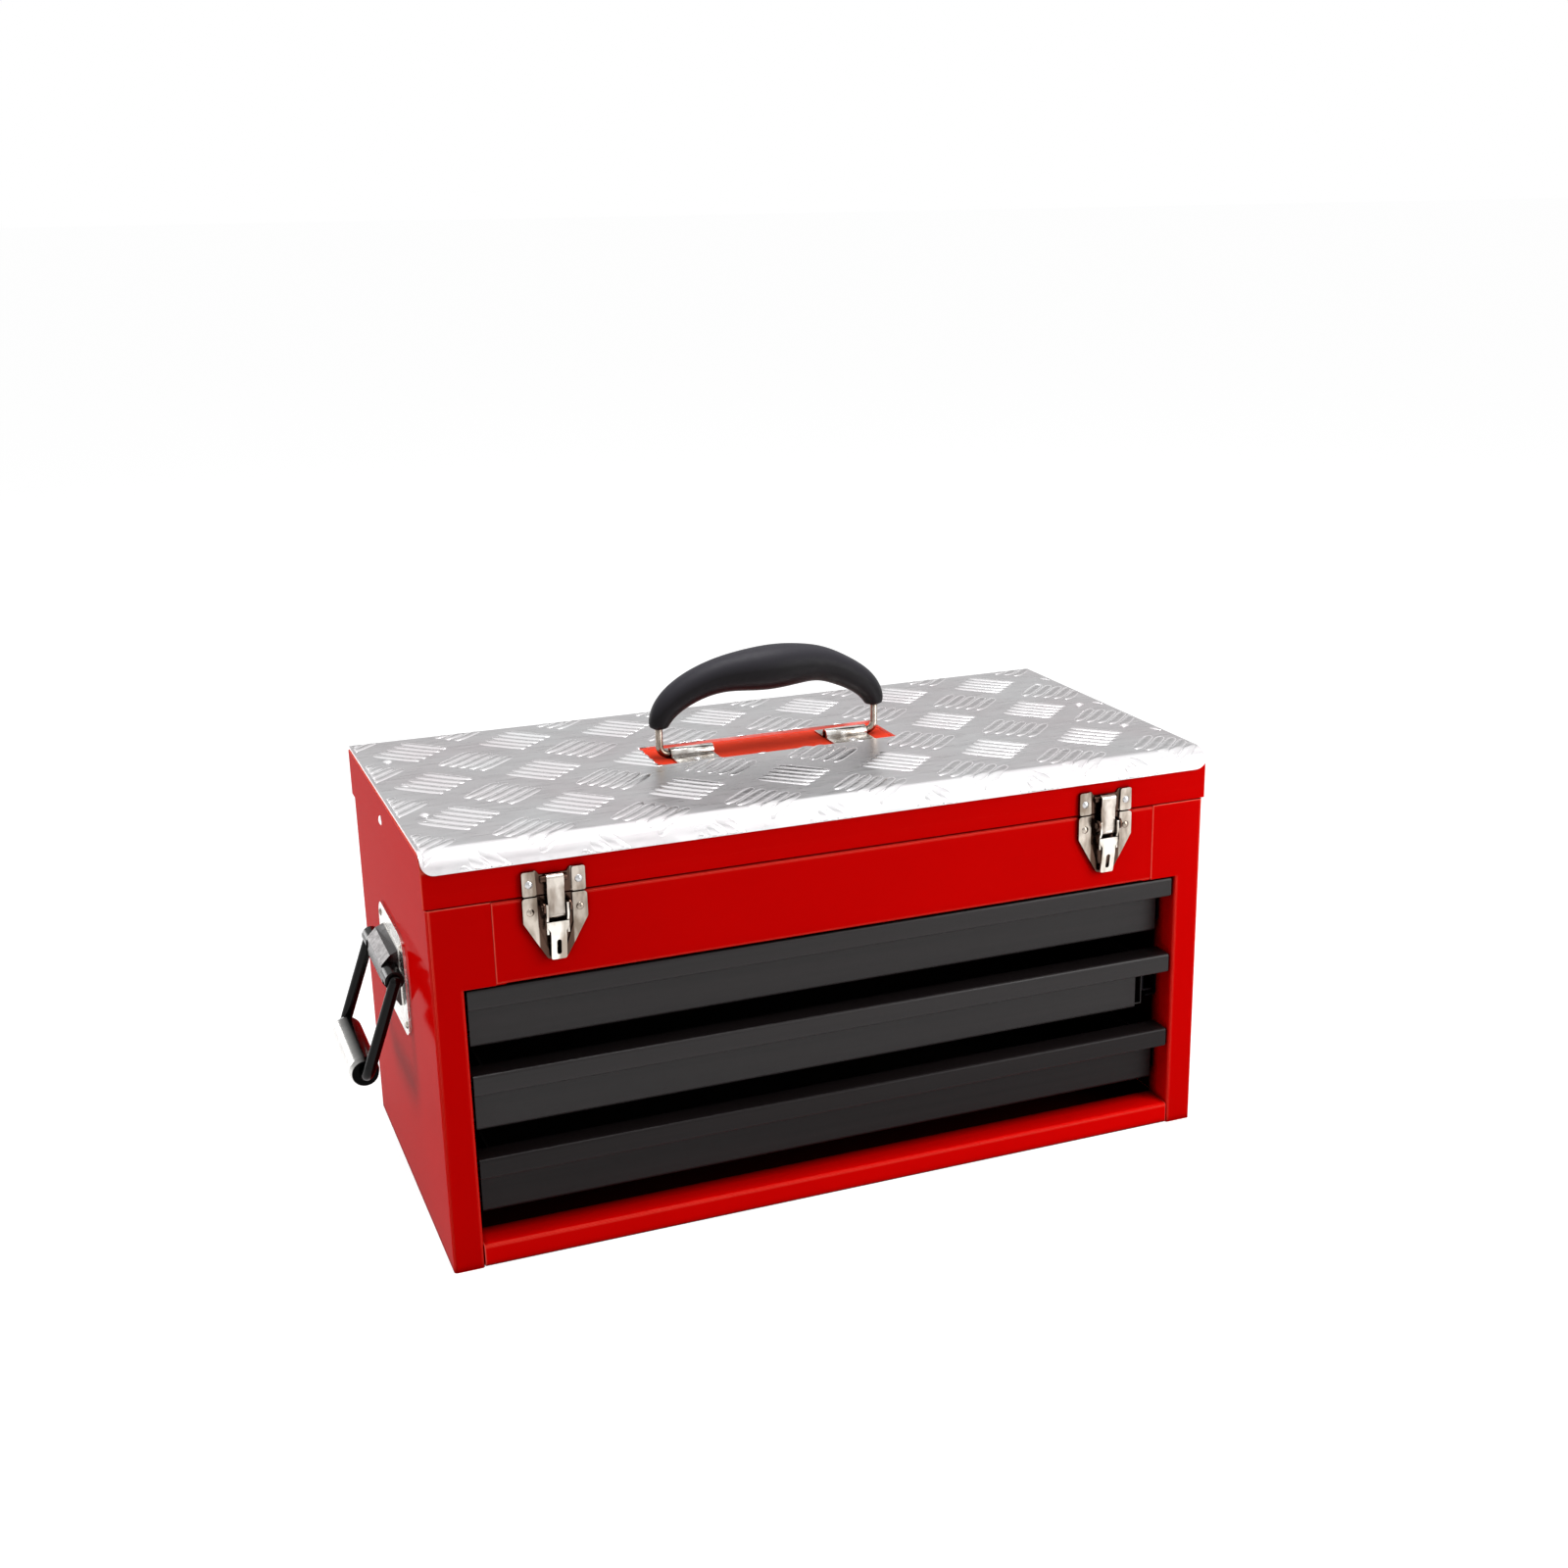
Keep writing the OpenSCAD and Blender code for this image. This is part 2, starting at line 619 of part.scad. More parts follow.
module hinge_pin() color(zinc) {
    rod_x(-hinge_len / 2 - 0.5, hinge_len / 2 + 0.5, hinge_y, hinge_z, hinge_pin_r);
    both_sides() rod_x(hinge_len / 2 + 0.1, hinge_len / 2 + 1.2, hinge_y, hinge_z, hinge_pin_r + 0.7);
}

// ---------------------------------------------------------------- lid

// Section of the lid or its hollow: rounded at the front, slightly rounded behind
module lid_section(y0, y1, z0, z1, r, back_r) {
    difference() {
        translate([y0, z0]) square([y1 - y0, z1 - z0]);
        translate([y0 - 1, z1 - r]) square([r + 1, r + 1]);
        translate([y1 - back_r, z1 - back_r]) square([back_r + 1, back_r + 1]);
    }
    intersection() {
        translate([y0 + r, z1 - r]) circle(r = r, $fn = 96);
        translate([y0, z1 - r]) square([r, r]);
    }
    intersection() {
        translate([y1 - back_r, z1 - back_r]) circle(r = back_r);
        translate([y1 - back_r, z1 - back_r]) square([back_r, back_r]);
    }
}

module lid_shell() color(red) {
    half = lid_half;
    t = sheet_t;
    difference() {
        along_x(-half, half) lid_section(front_y, back_y, lid_z, lid_top, nose_r, 2);
        along_x(-half + t, half - t)
            lid_section(front_y + t, back_y - t, lid_z - 1, lid_top - t, nose_r - t, 1);
    }
    // rim folded back inside along the sides and the front
    rim_top = lid_z + hem_h - t;
    both_sides() block([half - 2 * t, front_y + t / 2, lid_z], [half - t / 2, back_y - t / 2, rim_top]);
    block([t / 2 - half, front_y + t / 2, lid_z], [half - t / 2, front_y + 2 * t, rim_top]);
}

module plate_outline() {
    low = lid_top - nose_r - nose_drop;
    half = lid_half - plate_inset;
    top = lid_top + plate_t + bar_h + 1;
    polygon(concat(
        [[half, top], [-half, top]],
        corner([-half, top], [-half, low], [half, low], plate_corner_r, 8),
        corner([-half, low], [half, low], [half, top], plate_corner_r, 8)));
}

// Outline of a bar with tapered ends
function bar_outline(length, width) = [for (a = [0 : 45 : 315]) [length / 2 * cos(a), width / 2 * sin(a)]];

// Raised bar along X, flattened on top and falling off to its sides and ends
crest_l = 0.62 * bar_len;
crest_w = 0.42 * bar_w;
module tread_bar() hull() {
    translate([0, 0, -sink]) linear_extrude(sink) polygon(bar_outline(bar_len, bar_w));
    translate([0, 0, bar_h / 2]) linear_extrude(bar_h / 2) polygon(bar_outline(crest_l, crest_w));
}

module tread_group(angle)
    rotate(angle) for (k = [0 : bar_count - 1])
        translate([0, (k - (bar_count - 1) / 2) * bar_pitch, 0]) tread_bar();

tread_x0 = -9; // a group centre near the middle of the plate
tread_y0 = 13;
tread_margin = 2; // from the plate's edges to the bars

module tread_field() {
    half = lid_half - plate_inset - tread_margin;
    y0 = front_y + nose_r + gap;
    y1 = back_y - plate_inset - tread_margin;
    nx = ceil(half / tread_pitch_x) + 1;
    ny = ceil(back_y / tread_pitch_y) + 1;
    reach = bar_len / sqrt(2);
    intersection() {
        translate([0, 0, lid_top + plate_t])
            for (i = [-nx : nx], j = [-ny : ny], half_step = [0, 1]) {
                x = tread_x0 + (i + half_step / 2) * tread_pitch_x;
                y = tread_y0 + (j + half_step / 2) * tread_pitch_y;
                if (abs(x) < half + reach && y > y0 - reach && y < y1 + reach)
                    translate([x, y, 0]) tread_group(half_step == 1 ? 45 : -45);
            }
        block([-half, y0, lid_top + plate_t - sink], [half, y1, lid_top + plate_t + bar_h + 1]);
    }
}

module cutout_block() {
    half = [cutout_w / 2, cutout_d / 2];
    centre = [handle_x, handle_y + cutout_shift];
    translate([0, 0, lid_top - plate_t]) linear_extrude(3 * plate_t + bar_h)
        translate(centre - half) square(2 * half);
}

module tread_plate() color(tread_grey) {
    low = lid_top - nose_r - nose_drop;
    rear = back_y - plate_inset;
    nose_y = front_y + nose_r;
    outer_r = nose_r + plate_t;
    difference() {
        union() {
            intersection() {
                along_x(-lid_half, lid_half) {
                    translate([nose_y, lid_top]) square([rear - nose_y, plate_t]);
                    translate([front_y - plate_t, low]) square([plate_t, nose_drop]);
                    intersection() {
                        difference() {
                            translate([nose_y, lid_top - nose_r]) circle(r = outer_r, $fn = 96);
                            translate([nose_y, lid_top - nose_r]) circle(r = nose_r, $fn = 96);
                        }
                        translate([nose_y - outer_r, lid_top - nose_r]) square(outer_r);
                    }
                }
                along_y(front_y - 5, back_y) plate_outline();
            }
            difference() {
                tread_field();
                for (p = plate_rivet_places)
                    translate([p.x, p.y, lid_top]) cylinder(h = 2 * plate_t + bar_h, r = plate_rivet_r + 1.4);
            }
        }
        cutout_block();
    }
}

// Rivets of the tread plate
plate_rivet_x = case_w / 2 - 17;
plate_rivet_r = 3.2;
plate_rivet_pitch = 64;
plate_rivet_places = [for (x = [-plate_rivet_x, plate_rivet_x], k = [-1 : 1])
    [x, 12 + k * plate_rivet_pitch]];

module lid_rivets() color(nickel) {
    for (p = plate_rivet_places) translate([p.x, p.y, lid_top + plate_t]) rivet_head(plate_rivet_r, 1.2);
    for (p = saddle_rivet_places) translate([p.x, p.y, lid_top + saddle_t]) rivet_head(2.6, 1.0);
    for (s = [-1, 1], w = [-1, 1])
        translate([s * latch_x + w * (latch_half_w - 4.5), front_y - latch_rim_h, lid_z + 7.3])
            rotate([90, 0, 0]) rivet_head(2.4, 1.0);
    for (k = [-3 : 3]) translate([k * hinge_len / 7, back_y + leaf_t, hinge_z + leaf_h - 5])
        rotate([-90, 0, 0]) rivet_head(2.2, 0.9);
    both_sides() translate([lid_half, stay_y(stay_lid_p), stay_z(stay_lid_p)])
        rotate([0, 90, 0]) rivet_head(3.2, 1.2);
}

module case_rivets() color(nickel) {
    for (s = [-1, 1], w = [-1, 1])
        translate([s * latch_x + w * (latch_half_w - 4.5), front_y - latch_rim_h, latch_top - 9])
            rotate([90, 0, 0]) rivet_head(2.4, 1.0);
    for (k = [-3 : 3]) translate([k * hinge_len / 7, back_y + leaf_t, hinge_z - leaf_h + 5])
        rotate([-90, 0, 0]) rivet_head(2.2, 0.9);
    both_sides() for (y = [-1, 1], z = [-1, 1])
        translate([case_w / 2 + side_plate_t, side_y + y * (side_plate_w / 2 - side_rivet_edge),
                   side_z + z * (side_plate_h / 2 - side_rivet_edge)])
            rotate([0, 90, 0]) rivet_head(2.8, 1.1);
}

// ---------------------------------------------------------------- carrying handle

leg_x = wire_span / 2;
saddle_end_gap = 0.8; // from a saddle to the bend of the wire
saddle_mid = leg_x - wire_bend_r - saddle_end_gap - saddle_w / 2; // saddle from the handle's centre
saddle_rivet_places = [for (s = [-1, 1], y = [-1, 1])
    [handle_x + s * saddle_mid, handle_y + y * (saddle_l / 2 - 5)]];

module handle_saddles() color(nickel) for (s = [-1, 1]) {
    bore_r = wire_d / 2 + 0.2;
    shell_r = bore_r + saddle_t;
    lift = handle_pivot_z - lid_top;
    x0 = handle_x + s * saddle_mid - saddle_w / 2;
    along_x(x0, x0 + saddle_w) translate([handle_y, lid_top]) difference() {
        union() {
            translate([-saddle_l / 2, 0]) square([saddle_l, saddle_t]);
            translate([0, lift]) circle(r = shell_r);
            translate([-shell_r, 0]) square([2 * shell_r, lift]);
        }
        translate([0, lift]) circle(r = bore_r);
        translate([-bore_r, -1]) square([2 * bore_r, lift + 1]);
        translate([-shell_r - 1, -shell_r - 2]) square([2 * shell_r + 2, shell_r + 2]);
    }
}

// Middle line of the grip's arch, from the left lower end (a = 180) to the right one (a = 0)
function arch(a) = [
    handle_x + leg_x * sign(cos(a)) * pow(abs(cos(a)), grip_shape),
    handle_y,
    handle_pivot_z + grip_base + grip_rise * pow(sin(a), grip_shape)];
arch_points = [for (i = [0 : grip_steps]) arch(180 - 180 * i / grip_steps)];
grip_radii = [for (i = [0 : grip_steps])
    grip_end_d / 2 + (grip_d - grip_end_d) / 2 * sin(180 * i / grip_steps)];
wire_radii = [for (i = [0 : grip_steps]) wire_d / 2];

module handle_wire() color(nickel) {
    r = wire_d / 2;
    leg_top = handle_pivot_z + grip_base;
    for (s = [-1, 1]) translate([handle_x, handle_y, handle_pivot_z]) mirror([s < 0 ? 1 : 0, 0, 0]) {
        rod_x(leg_x - wire_bend_r - foot_reach, leg_x - wire_bend_r, 0, 0, r);
        translate([leg_x - wire_bend_r, 0, wire_bend_r]) rotate([90, 0, 0])
            rotate([0, 0, -90]) rotate_extrude(angle = 90) translate([wire_bend_r, 0]) circle(r = r);
        translate([leg_x, 0, wire_bend_r]) cylinder(h = grip_base - wire_bend_r + 1, r = r);
    }
    flat_tube(arch_points, wire_radii, wire_radii, [0, 1, 0], 16);
}

module handle_grip() color(black) difference() {
    flat_tube(arch_points, grip_radii, grip_radii, [0, 1, 0], 28);
    bore = [for (r = wire_radii) r + 0.15];
    ends = concat([arch_points[0] - [0, 0, 2]], arch_points, [arch_points[grip_steps] - [0, 0, 2]]);
    flat_tube(ends, concat([bore[0]], bore, [bore[0]]), concat([bore[0]], bore, [bore[0]]), [0, 1, 0], 16);
}

// ---------------------------------------------------------------- latches

// Places the shape, drawn in (x, forward, up) with up from z = 0, on a latch centre
module at_latch(side) on_side(side) translate([latch_x, front_y, 0]) mirror([0, 1, 0]) children();

// Section drawn in (forward, up) that spans x0..x1
module latch_section(x0, x1) translate([x0, 0, 0]) rotate([90, 0, 90]) linear_extrude(x1 - x0) children();

function base_outline(m) = let (w = latch_half_w - m, top = latch_top - m, low = latch_top - latch_base_h + m)
    [[w, top], [-w, top], [-w, low + 25], [-w * 0.62, low + 12], [-6, low + 1.5], [0, low],
     [6, low + 1.5], [w * 0.62, low + 12], [w, low + 25]];

module latch_base(side) color(nickel) at_latch(side) {
    rotate([90, 0, 0]) mirror([0, 0, 1]) linear_extrude(latch_t)
        polygon(rounded(base_outline(0), 2));
    // raised rim round the pocket in which the lever lies
    low = latch_top - latch_base_h;
    pocket = [[latch_pocket, low + 22], [latch_pocket, latch_top + 4], [-latch_pocket, latch_top + 4],
        [-latch_pocket, low + 22], [-6.6, low + 10], [-3.6, low + 4], [3.6, low + 4], [6.6, low + 10]];
    rotate([90, 0, 0]) mirror([0, 0, 1]) linear_extrude(latch_rim_h) difference() {
        polygon(rounded(base_outline(0), 2));
        polygon(rounded(pocket, 1.5));
    }
    // ears that carry the lever
    difference() {
        for (x = [-ear_out, ear_in]) latch_section(x, x + latch_t) difference() {
            union() {
                translate([0, lever_pin_z - 9]) square([lever_pin_o, 12.6]);
                translate([lever_pin_o, lever_pin_z]) circle(r = 3.6);
                polygon([[lever_pin_o, lever_pin_z - 3.6], [lever_pin_o, lever_pin_z - 6],
                    [0, lever_pin_z - 9]]);
            }
            polygon([[0.6, lever_pin_z - 9.1], [12, lever_pin_z - 9.1], [12, lever_pin_z - 4],
                [lever_pin_o, lever_pin_z - 4]]);
        }
        rod_x(-ear_out - 1, ear_out + 1, lever_pin_o, lever_pin_z, latch_pin_r + 0.01);
    }
}
module latch_base_left() latch_base("left");
module latch_base_right() latch_base("right");

// Stub rivets that hold the lever's cheeks in the ears
module latch_pivots(side) color(nickel) at_latch(side) for (s = [0, 1]) mirror([s, 0, 0]) {
    rod_x(cheek_in, ear_out + 0.4, lever_pin_o, lever_pin_z, latch_pin_r);
    rod_x(ear_out, ear_out + 0.8, lever_pin_o, lever_pin_z, latch_pin_r + 0.8);
}
module latch_pivots_left() latch_pivots("left");
module latch_pivots_right() latch_pivots("right");

// Lever: two cheeks joined by a face plate that narrows to a slotted tongue
lever_face_o = 6.4; // inner face of the plate at its upper edge
lever_top_z = lever_pin_z - 9.2; // upper edge of the face plate
lever_tip_z = latch_top - latch_base_h + 1.5;
tongue_w = 4.7; // half the width of the face plate below the cheeks
slot_r = 1.4; // half the width of the slot
slot_z = lever_tip_z + 4.5; // lower end of the slot
slot_len = 7;
module latch_lever(side) color(nickel) at_latch(side) difference() {
    face_w = cheek_out - 0.1;
    union() {
        intersection() {
            // bent face, closer to the base at its tip
            latch_section(-cheek_out, cheek_out)
                sheet([[lever_face_o + 0.6, lever_top_z], [lever_face_o + 1.2, lever_top_z - 9],
                       [lever_face_o - 1.2, lever_tip_z]], t = latch_t, r = 6);
            rotate([90, 0, 0]) translate([0, 0, -20]) linear_extrude(40)
                polygon(rounded([[face_w, lever_top_z + 2], [-face_w, lever_top_z + 2],
                    [-face_w, lever_top_z - 3], [-tongue_w, lever_top_z - 6], [-tongue_w, lever_tip_z],
                    [tongue_w, lever_tip_z], [tongue_w, lever_top_z - 6], [face_w, lever_top_z - 3]], 1.2));
        }
        for (x = [-cheek_out, cheek_in]) latch_section(x, x + latch_t)
            polygon(rounded([[lever_pin_o - 2.4, lever_pin_z + 2.4], [lever_pin_o - 4.6, hook_pin_z],
                [lever_pin_o - 4.6, hook_pin_z - 2.4], [lever_face_o, lever_top_z - 7.6],
                [lever_face_o + 1, lever_top_z - 7.6], [lever_face_o + 0.7, lever_top_z],
                [lever_pin_o + 2.4, lever_top_z + 4], [lever_pin_o + 2.4, lever_pin_z + 2.4]], 0.4));
    }
    rod_x(-20, 20, lever_pin_o, lever_pin_z, latch_pin_r + fit);
    rod_x(-20, 20, hook_pin_o, hook_pin_z, latch_pin_r + 0.01);
    // slot near the tip
    for (z = [slot_z, slot_z + slot_len])
        rotate([90, 0, 0]) translate([0, z, -20]) cylinder(h = 40, r = slot_r);
    block([-slot_r, 0, slot_z], [slot_r, 20, slot_z + slot_len]);
}
module latch_lever_left() latch_lever("left");
module latch_lever_right() latch_lever("right");

module latch_lever_pin(side) color(nickel) at_latch(side)
    rod_x(-cheek_out, cheek_out, hook_pin_o, hook_pin_z, latch_pin_r);
module latch_lever_pin_left() latch_lever_pin("left");
module latch_lever_pin_right() latch_lever_pin("right");

// Hook strap with an eye round the pin and a nose in front of the strike's ridge
module latch_hook(side) color(nickel) at_latch(side) {
    strap_o = hook_pin_o + hook_eye_r - latch_t / 2;
    ridge_z = lid_z + 9.3;
    nose_o = latch_t + ridge_r + gap + latch_t / 2 + 0.2;
    difference() {
        union() {
            rod_x(-strap_half_w, strap_half_w, hook_pin_o, hook_pin_z, hook_eye_r + 0.1);
            latch_section(-strap_half_w, strap_half_w)
                sheet([[strap_o, hook_pin_z - 0.5], [strap_o, ridge_z - 5], [strap_o + 0.9, ridge_z - 2.5],
                       [strap_o + 0.9, ridge_z + 2.4], [nose_o, ridge_z + 3.2]], t = latch_t, r = 0.5, n = 3);
        }
        rod_x(-latch_half_w, latch_half_w, hook_pin_o, hook_pin_z, latch_pin_r + fit);
    }
}
module latch_hook_left() latch_hook("left");
module latch_hook_right() latch_hook("right");

// Strike on the lid: plate with two raised wings and a rolled ridge between them
module latch_strike(side) color(nickel) at_latch(side) {
    z0 = strike_z;
    z1 = z0 + strike_h;
    w = latch_half_w - 0.5;
    rotate([90, 0, 0]) mirror([0, 0, 1]) linear_extrude(latch_t)
        polygon(rounded([[w, z0], [w, z1], [10, z1], [8.5, z1 - 2.6], [-8.5, z1 - 2.6], [-10, z1],
            [-w, z1], [-w, z0]], 1.2));
    // raised wings in line with the rims of the base
    for (side = [-1, 1]) rotate([90, 0, 0]) mirror([0, 0, 1]) linear_extrude(latch_rim_h)
        polygon(rounded([[side * latch_pocket, z0], [side * w, z0], [side * w, z1],
            [side * (latch_pocket + 0.6), z1]], 1.2));
    latch_section(-8, 8) intersection() {
        translate([latch_t, lid_z + 9.3]) circle(r = ridge_r);
        translate([0.5, z0]) square([10, strike_h]);
    }
}
module latch_strike_left() latch_strike("left");
module latch_strike_right() latch_strike("right");

// ---------------------------------------------------------------- side handles

// Places the shape, drawn in (outward, back, up), at the side handle's centre
module at_side(side) on_side(side) translate([case_w / 2, side_y, 0]) children();

// Housing on the plate: a section drawn in (outward, up from the pivot)
module housing_block(half, section) translate([0, -half, side_pivot_z]) rotate([90, 0, 0])
    mirror([0, 0, 1]) linear_extrude(2 * half) polygon(rounded(section, 1.1));

module handle_plate(side) color(nickel) at_side(side) {
    w = side_plate_w / 2;
    h = side_plate_h / 2;
    rotate([90, 0, 90]) linear_extrude(side_plate_t)
        polygon(rounded([[-w, side_z - h], [w, side_z - h], [w, side_z + h], [-w, side_z + h]], 13, 8));
    difference() {
        housing_block(housing_half,
            [[0.5, -24], [3, -24], [housing_o, -7], [housing_o, 5], [7, 11], [0.5, 14]]);
        housing_block(housing_half - housing_t,
            [[-1, -20], [3, -20], [hollow_o, -6.2], [hollow_o, 4.2], [6.4, 9], [-1, 12]]);
        rod_y(-bail_span, bail_span, side_pivot_o, side_pivot_z, stub_d / 2 + 0.1);
    }
}
module handle_plate_left() handle_plate("left");
module handle_plate_right() handle_plate("right");

// Bail: stub ends in the housing, knuckles, two arms and a cross bar inside the grip
module side_bail(side) color(black) at_side(side) translate([side_pivot_o, 0, side_pivot_z])
    rotate([0, -bail_angle, 0]) for (s = [0, 1]) mirror([0, s, 0]) {
        r = bail_d / 2;
        half = bail_span / 2;
        bend = r + 3;
        rod_y(housing_half - housing_t - 1, half, 0, 0, stub_d / 2);
        rod_y(housing_half + 0.5, half - bail_d / 4, 0, 0, bail_knuckle_r);
        translate([0, half, 0]) sphere(r = r);
        translate([0, half, bend - bail_drop]) cylinder(h = bail_drop - bend, r = r);
        translate([0, half - bend, bend - bail_drop]) rotate([0, 90, 0])
            rotate_extrude(angle = 90) translate([bend, 0]) circle(r = r);
        rod_y(0, half - bend, 0, -bail_drop, r);
    }
module side_bail_left() side_bail("left");
module side_bail_right() side_bail("right");

module side_grip(side) color(black) at_side(side) translate([side_pivot_o, 0, side_pivot_z])
    rotate([0, -bail_angle, 0]) {
        half = bail_span / 2 - bail_d / 2 - 3.2;
        translate([0, 0, -bail_drop]) rotate([90, 0, 0]) rotate_extrude() difference() {
            polygon(rounded([[0, -half], [side_grip_d / 2 - 1.2, -half], [side_grip_d / 2, -half + 5],
                [side_grip_d / 2, half - 5], [side_grip_d / 2 - 1.2, half], [0, half]], 0.8, 3));
            translate([-1, -half - 1]) square([bail_d / 2 + 0.15 + 1, 2 * half + 2]);
        }
    }
module side_grip_left() side_grip("left");
module side_grip_right() side_grip("right");

// ---------------------------------------------------------------- lid stays

function stay_y(p) = hinge_y - p.x;
function stay_z(p) = hinge_z + p.y;

// Flat arm with round ends between two places, its outer face at x
module stay_arm(x, a, b, hole_a, hole_b) {
    d = b - a;
    translate([x - stay_t, 0, 0]) rotate([90, 0, 90]) linear_extrude(stay_t) difference() {
        translate([stay_y(a), stay_z(a)]) rotate(atan2(d.y, -d.x)) {
            translate([0, -stay_w / 2]) square([norm(d), stay_w]);
            circle(d = stay_w);
            translate([norm(d), 0]) circle(d = stay_w);
        }
        translate([stay_y(a), stay_z(a)]) circle(r = hole_a);
        translate([stay_y(b), stay_z(b)]) circle(r = hole_b);
    }
}

module stay_lower(side) color(zinc) on_side(side) {
    stay_arm(stay_lower_x, stay_case_p, stay_knee_p, stud_r + fit, 0.8);
    knee_y = stay_y(stay_knee_p);
    knee_z = stay_z(stay_knee_p);
    rod_x(stay_upper_x - stay_t - 0.9, stay_lower_x, knee_y, knee_z, stud_r);
    rod_x(stay_upper_x - stay_t - 0.9, stay_upper_x - stay_t - 0.2, knee_y, knee_z, stud_r + 1.4);
}
module stay_lower_left() stay_lower("left");
module stay_lower_right() stay_lower("right");

module stay_upper(side) color(zinc) on_side(side)
    stay_arm(stay_upper_x, stay_lid_p, stay_knee_p, stud_r + fit, stud_r + gap);
module stay_upper_left() stay_upper("left");
module stay_upper_right() stay_upper("right");

// Stud from the wall through an arm, with a collar behind it and a head before it
module stay_stud(p, arm_x, wall_x) {
    y = stay_y(p);
    z = stay_z(p);
    rod_x(arm_x - stay_t - 0.8, wall_x, y, z, stud_r);
    rod_x(arm_x + 0.15, wall_x, y, z, stud_r + 1.6);
    rod_x(arm_x - stay_t - 0.8, arm_x - stay_t - 0.15, y, z, stud_r + 1.4);
}
module stay_studs_case() color(zinc) both_sides() stay_stud(stay_case_p, stay_lower_x, inner_x);
module stay_studs_lid() color(zinc) both_sides() stay_stud(stay_lid_p, stay_upper_x, lid_half - sheet_t);

// ---------------------------------------------------------------- parts

side_panel_left();
side_panel_right();
back_panel();
base_panel();
header_panel();
tray_floor();
slide_bracket_left();
slide_bracket_right();
slides_outer_1();
slides_outer_2();
slides_outer_3();
hinge_leaf_case();
hinge_pin();
latch_base_left();
latch_base_right();
latch_pivots_left();
latch_pivots_right();
handle_plate_left();
handle_plate_right();
case_rivets();
stay_studs_case();
lid_shell();
tread_plate();
lid_rivets();
handle_saddles();
hinge_leaf_lid();
latch_strike_left();
latch_strike_right();
stay_studs_lid();
drawer_box_1();
drawer_box_2();
drawer_box_3();
drawer_front_1();
drawer_front_2();
drawer_front_3();
slides_inner_1();
slides_inner_2();
slides_inner_3();
ball_cages_1();
ball_cages_2();
ball_cages_3();
latch_lever_left();
latch_lever_right();
latch_hook_left();
latch_hook_right();
latch_lever_pin_left();
latch_lever_pin_right();
handle_wire();
handle_grip();
side_bail_left();
side_bail_right();
side_grip_left();
side_grip_right();
stay_lower_left();
stay_lower_right();
stay_upper_left();
stay_upper_right();
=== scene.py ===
"""Looks of the portable tool box: camera, light, finishes, the modelled tread plate and the soft grip."""

import json
import math

import bmesh
import bpy
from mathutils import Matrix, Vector


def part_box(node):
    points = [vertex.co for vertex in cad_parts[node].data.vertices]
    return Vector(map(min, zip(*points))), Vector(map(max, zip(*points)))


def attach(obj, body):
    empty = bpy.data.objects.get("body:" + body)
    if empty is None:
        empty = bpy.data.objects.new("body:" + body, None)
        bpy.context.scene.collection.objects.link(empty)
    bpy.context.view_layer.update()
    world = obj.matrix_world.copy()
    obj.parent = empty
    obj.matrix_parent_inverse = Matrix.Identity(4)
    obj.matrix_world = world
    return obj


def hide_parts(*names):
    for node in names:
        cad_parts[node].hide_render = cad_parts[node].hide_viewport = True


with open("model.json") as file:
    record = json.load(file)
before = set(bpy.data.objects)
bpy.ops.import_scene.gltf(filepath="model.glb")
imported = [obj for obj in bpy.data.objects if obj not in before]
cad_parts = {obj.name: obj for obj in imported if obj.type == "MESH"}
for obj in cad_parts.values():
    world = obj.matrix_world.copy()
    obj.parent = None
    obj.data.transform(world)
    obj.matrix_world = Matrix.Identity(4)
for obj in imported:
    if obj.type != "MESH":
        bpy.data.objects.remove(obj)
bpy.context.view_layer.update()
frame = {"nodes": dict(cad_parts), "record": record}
NODES = frame["nodes"]
MM = 0.001

# ---------------------------------------------------------------- places on the solid model

plate_low, plate_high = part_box("tread_plate")
lid_low, lid_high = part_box("lid_shell")
PLATE_T = 2 * MM
NOSE_R = 10.5 * MM
OUTER_R = NOSE_R + PLATE_T
PLATE_TOP = lid_high.z + PLATE_T
NOSE_Y = lid_low.y + NOSE_R
NOSE_Z = lid_high.z - NOSE_R
NOSE_ARC = OUTER_R * math.pi / 2
CORNER_R = 8 * MM
HANDLE_X = 3 * MM
HANDLE_Y = 11 * MM
CUTOUT_HALF = 85 * MM
CUTOUT_FRONT = 21 * MM
CUTOUT_REAR = 25 * MM
CUTOUT_X = (HANDLE_X - CUTOUT_HALF, HANDLE_X + CUTOUT_HALF)
CUTOUT_Y = (HANDLE_Y - CUTOUT_FRONT, HANDLE_Y + CUTOUT_REAR)

# The bay behind the drawer fronts
BAY_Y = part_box("drawer_box_1")[0].y
BAY_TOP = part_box("tray_floor")[0].z + 4 * MM
BAY_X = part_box("side_panel_right")[1].x - 0.6 * MM
BAY_BACK = min(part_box("back_panel")[1].y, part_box("side_panel_right")[1].y)

LATCH_X = 184.5 * MM  # middle of a latch
LATCH_POCKET = 10.6 * MM  # half width of the pocket that its lever lies in
HOUSING_FOOT = 261.8 * MM  # from here outwards a side handle's plate is its housing

# ---------------------------------------------------------------- camera

# Solved from the photograph's edges; its picture centre lies beside the optical axis
CAMERA_PLACE = Vector((-432.8, -1183.7, 623.4)) * MM
CAMERA_TURN = (72.72, 0.90, -22.16)
SENSOR = 36
PICTURE = 1600
FOCAL_PIXELS = 1980
AXIS_X = 847
AXIS_Y = 817


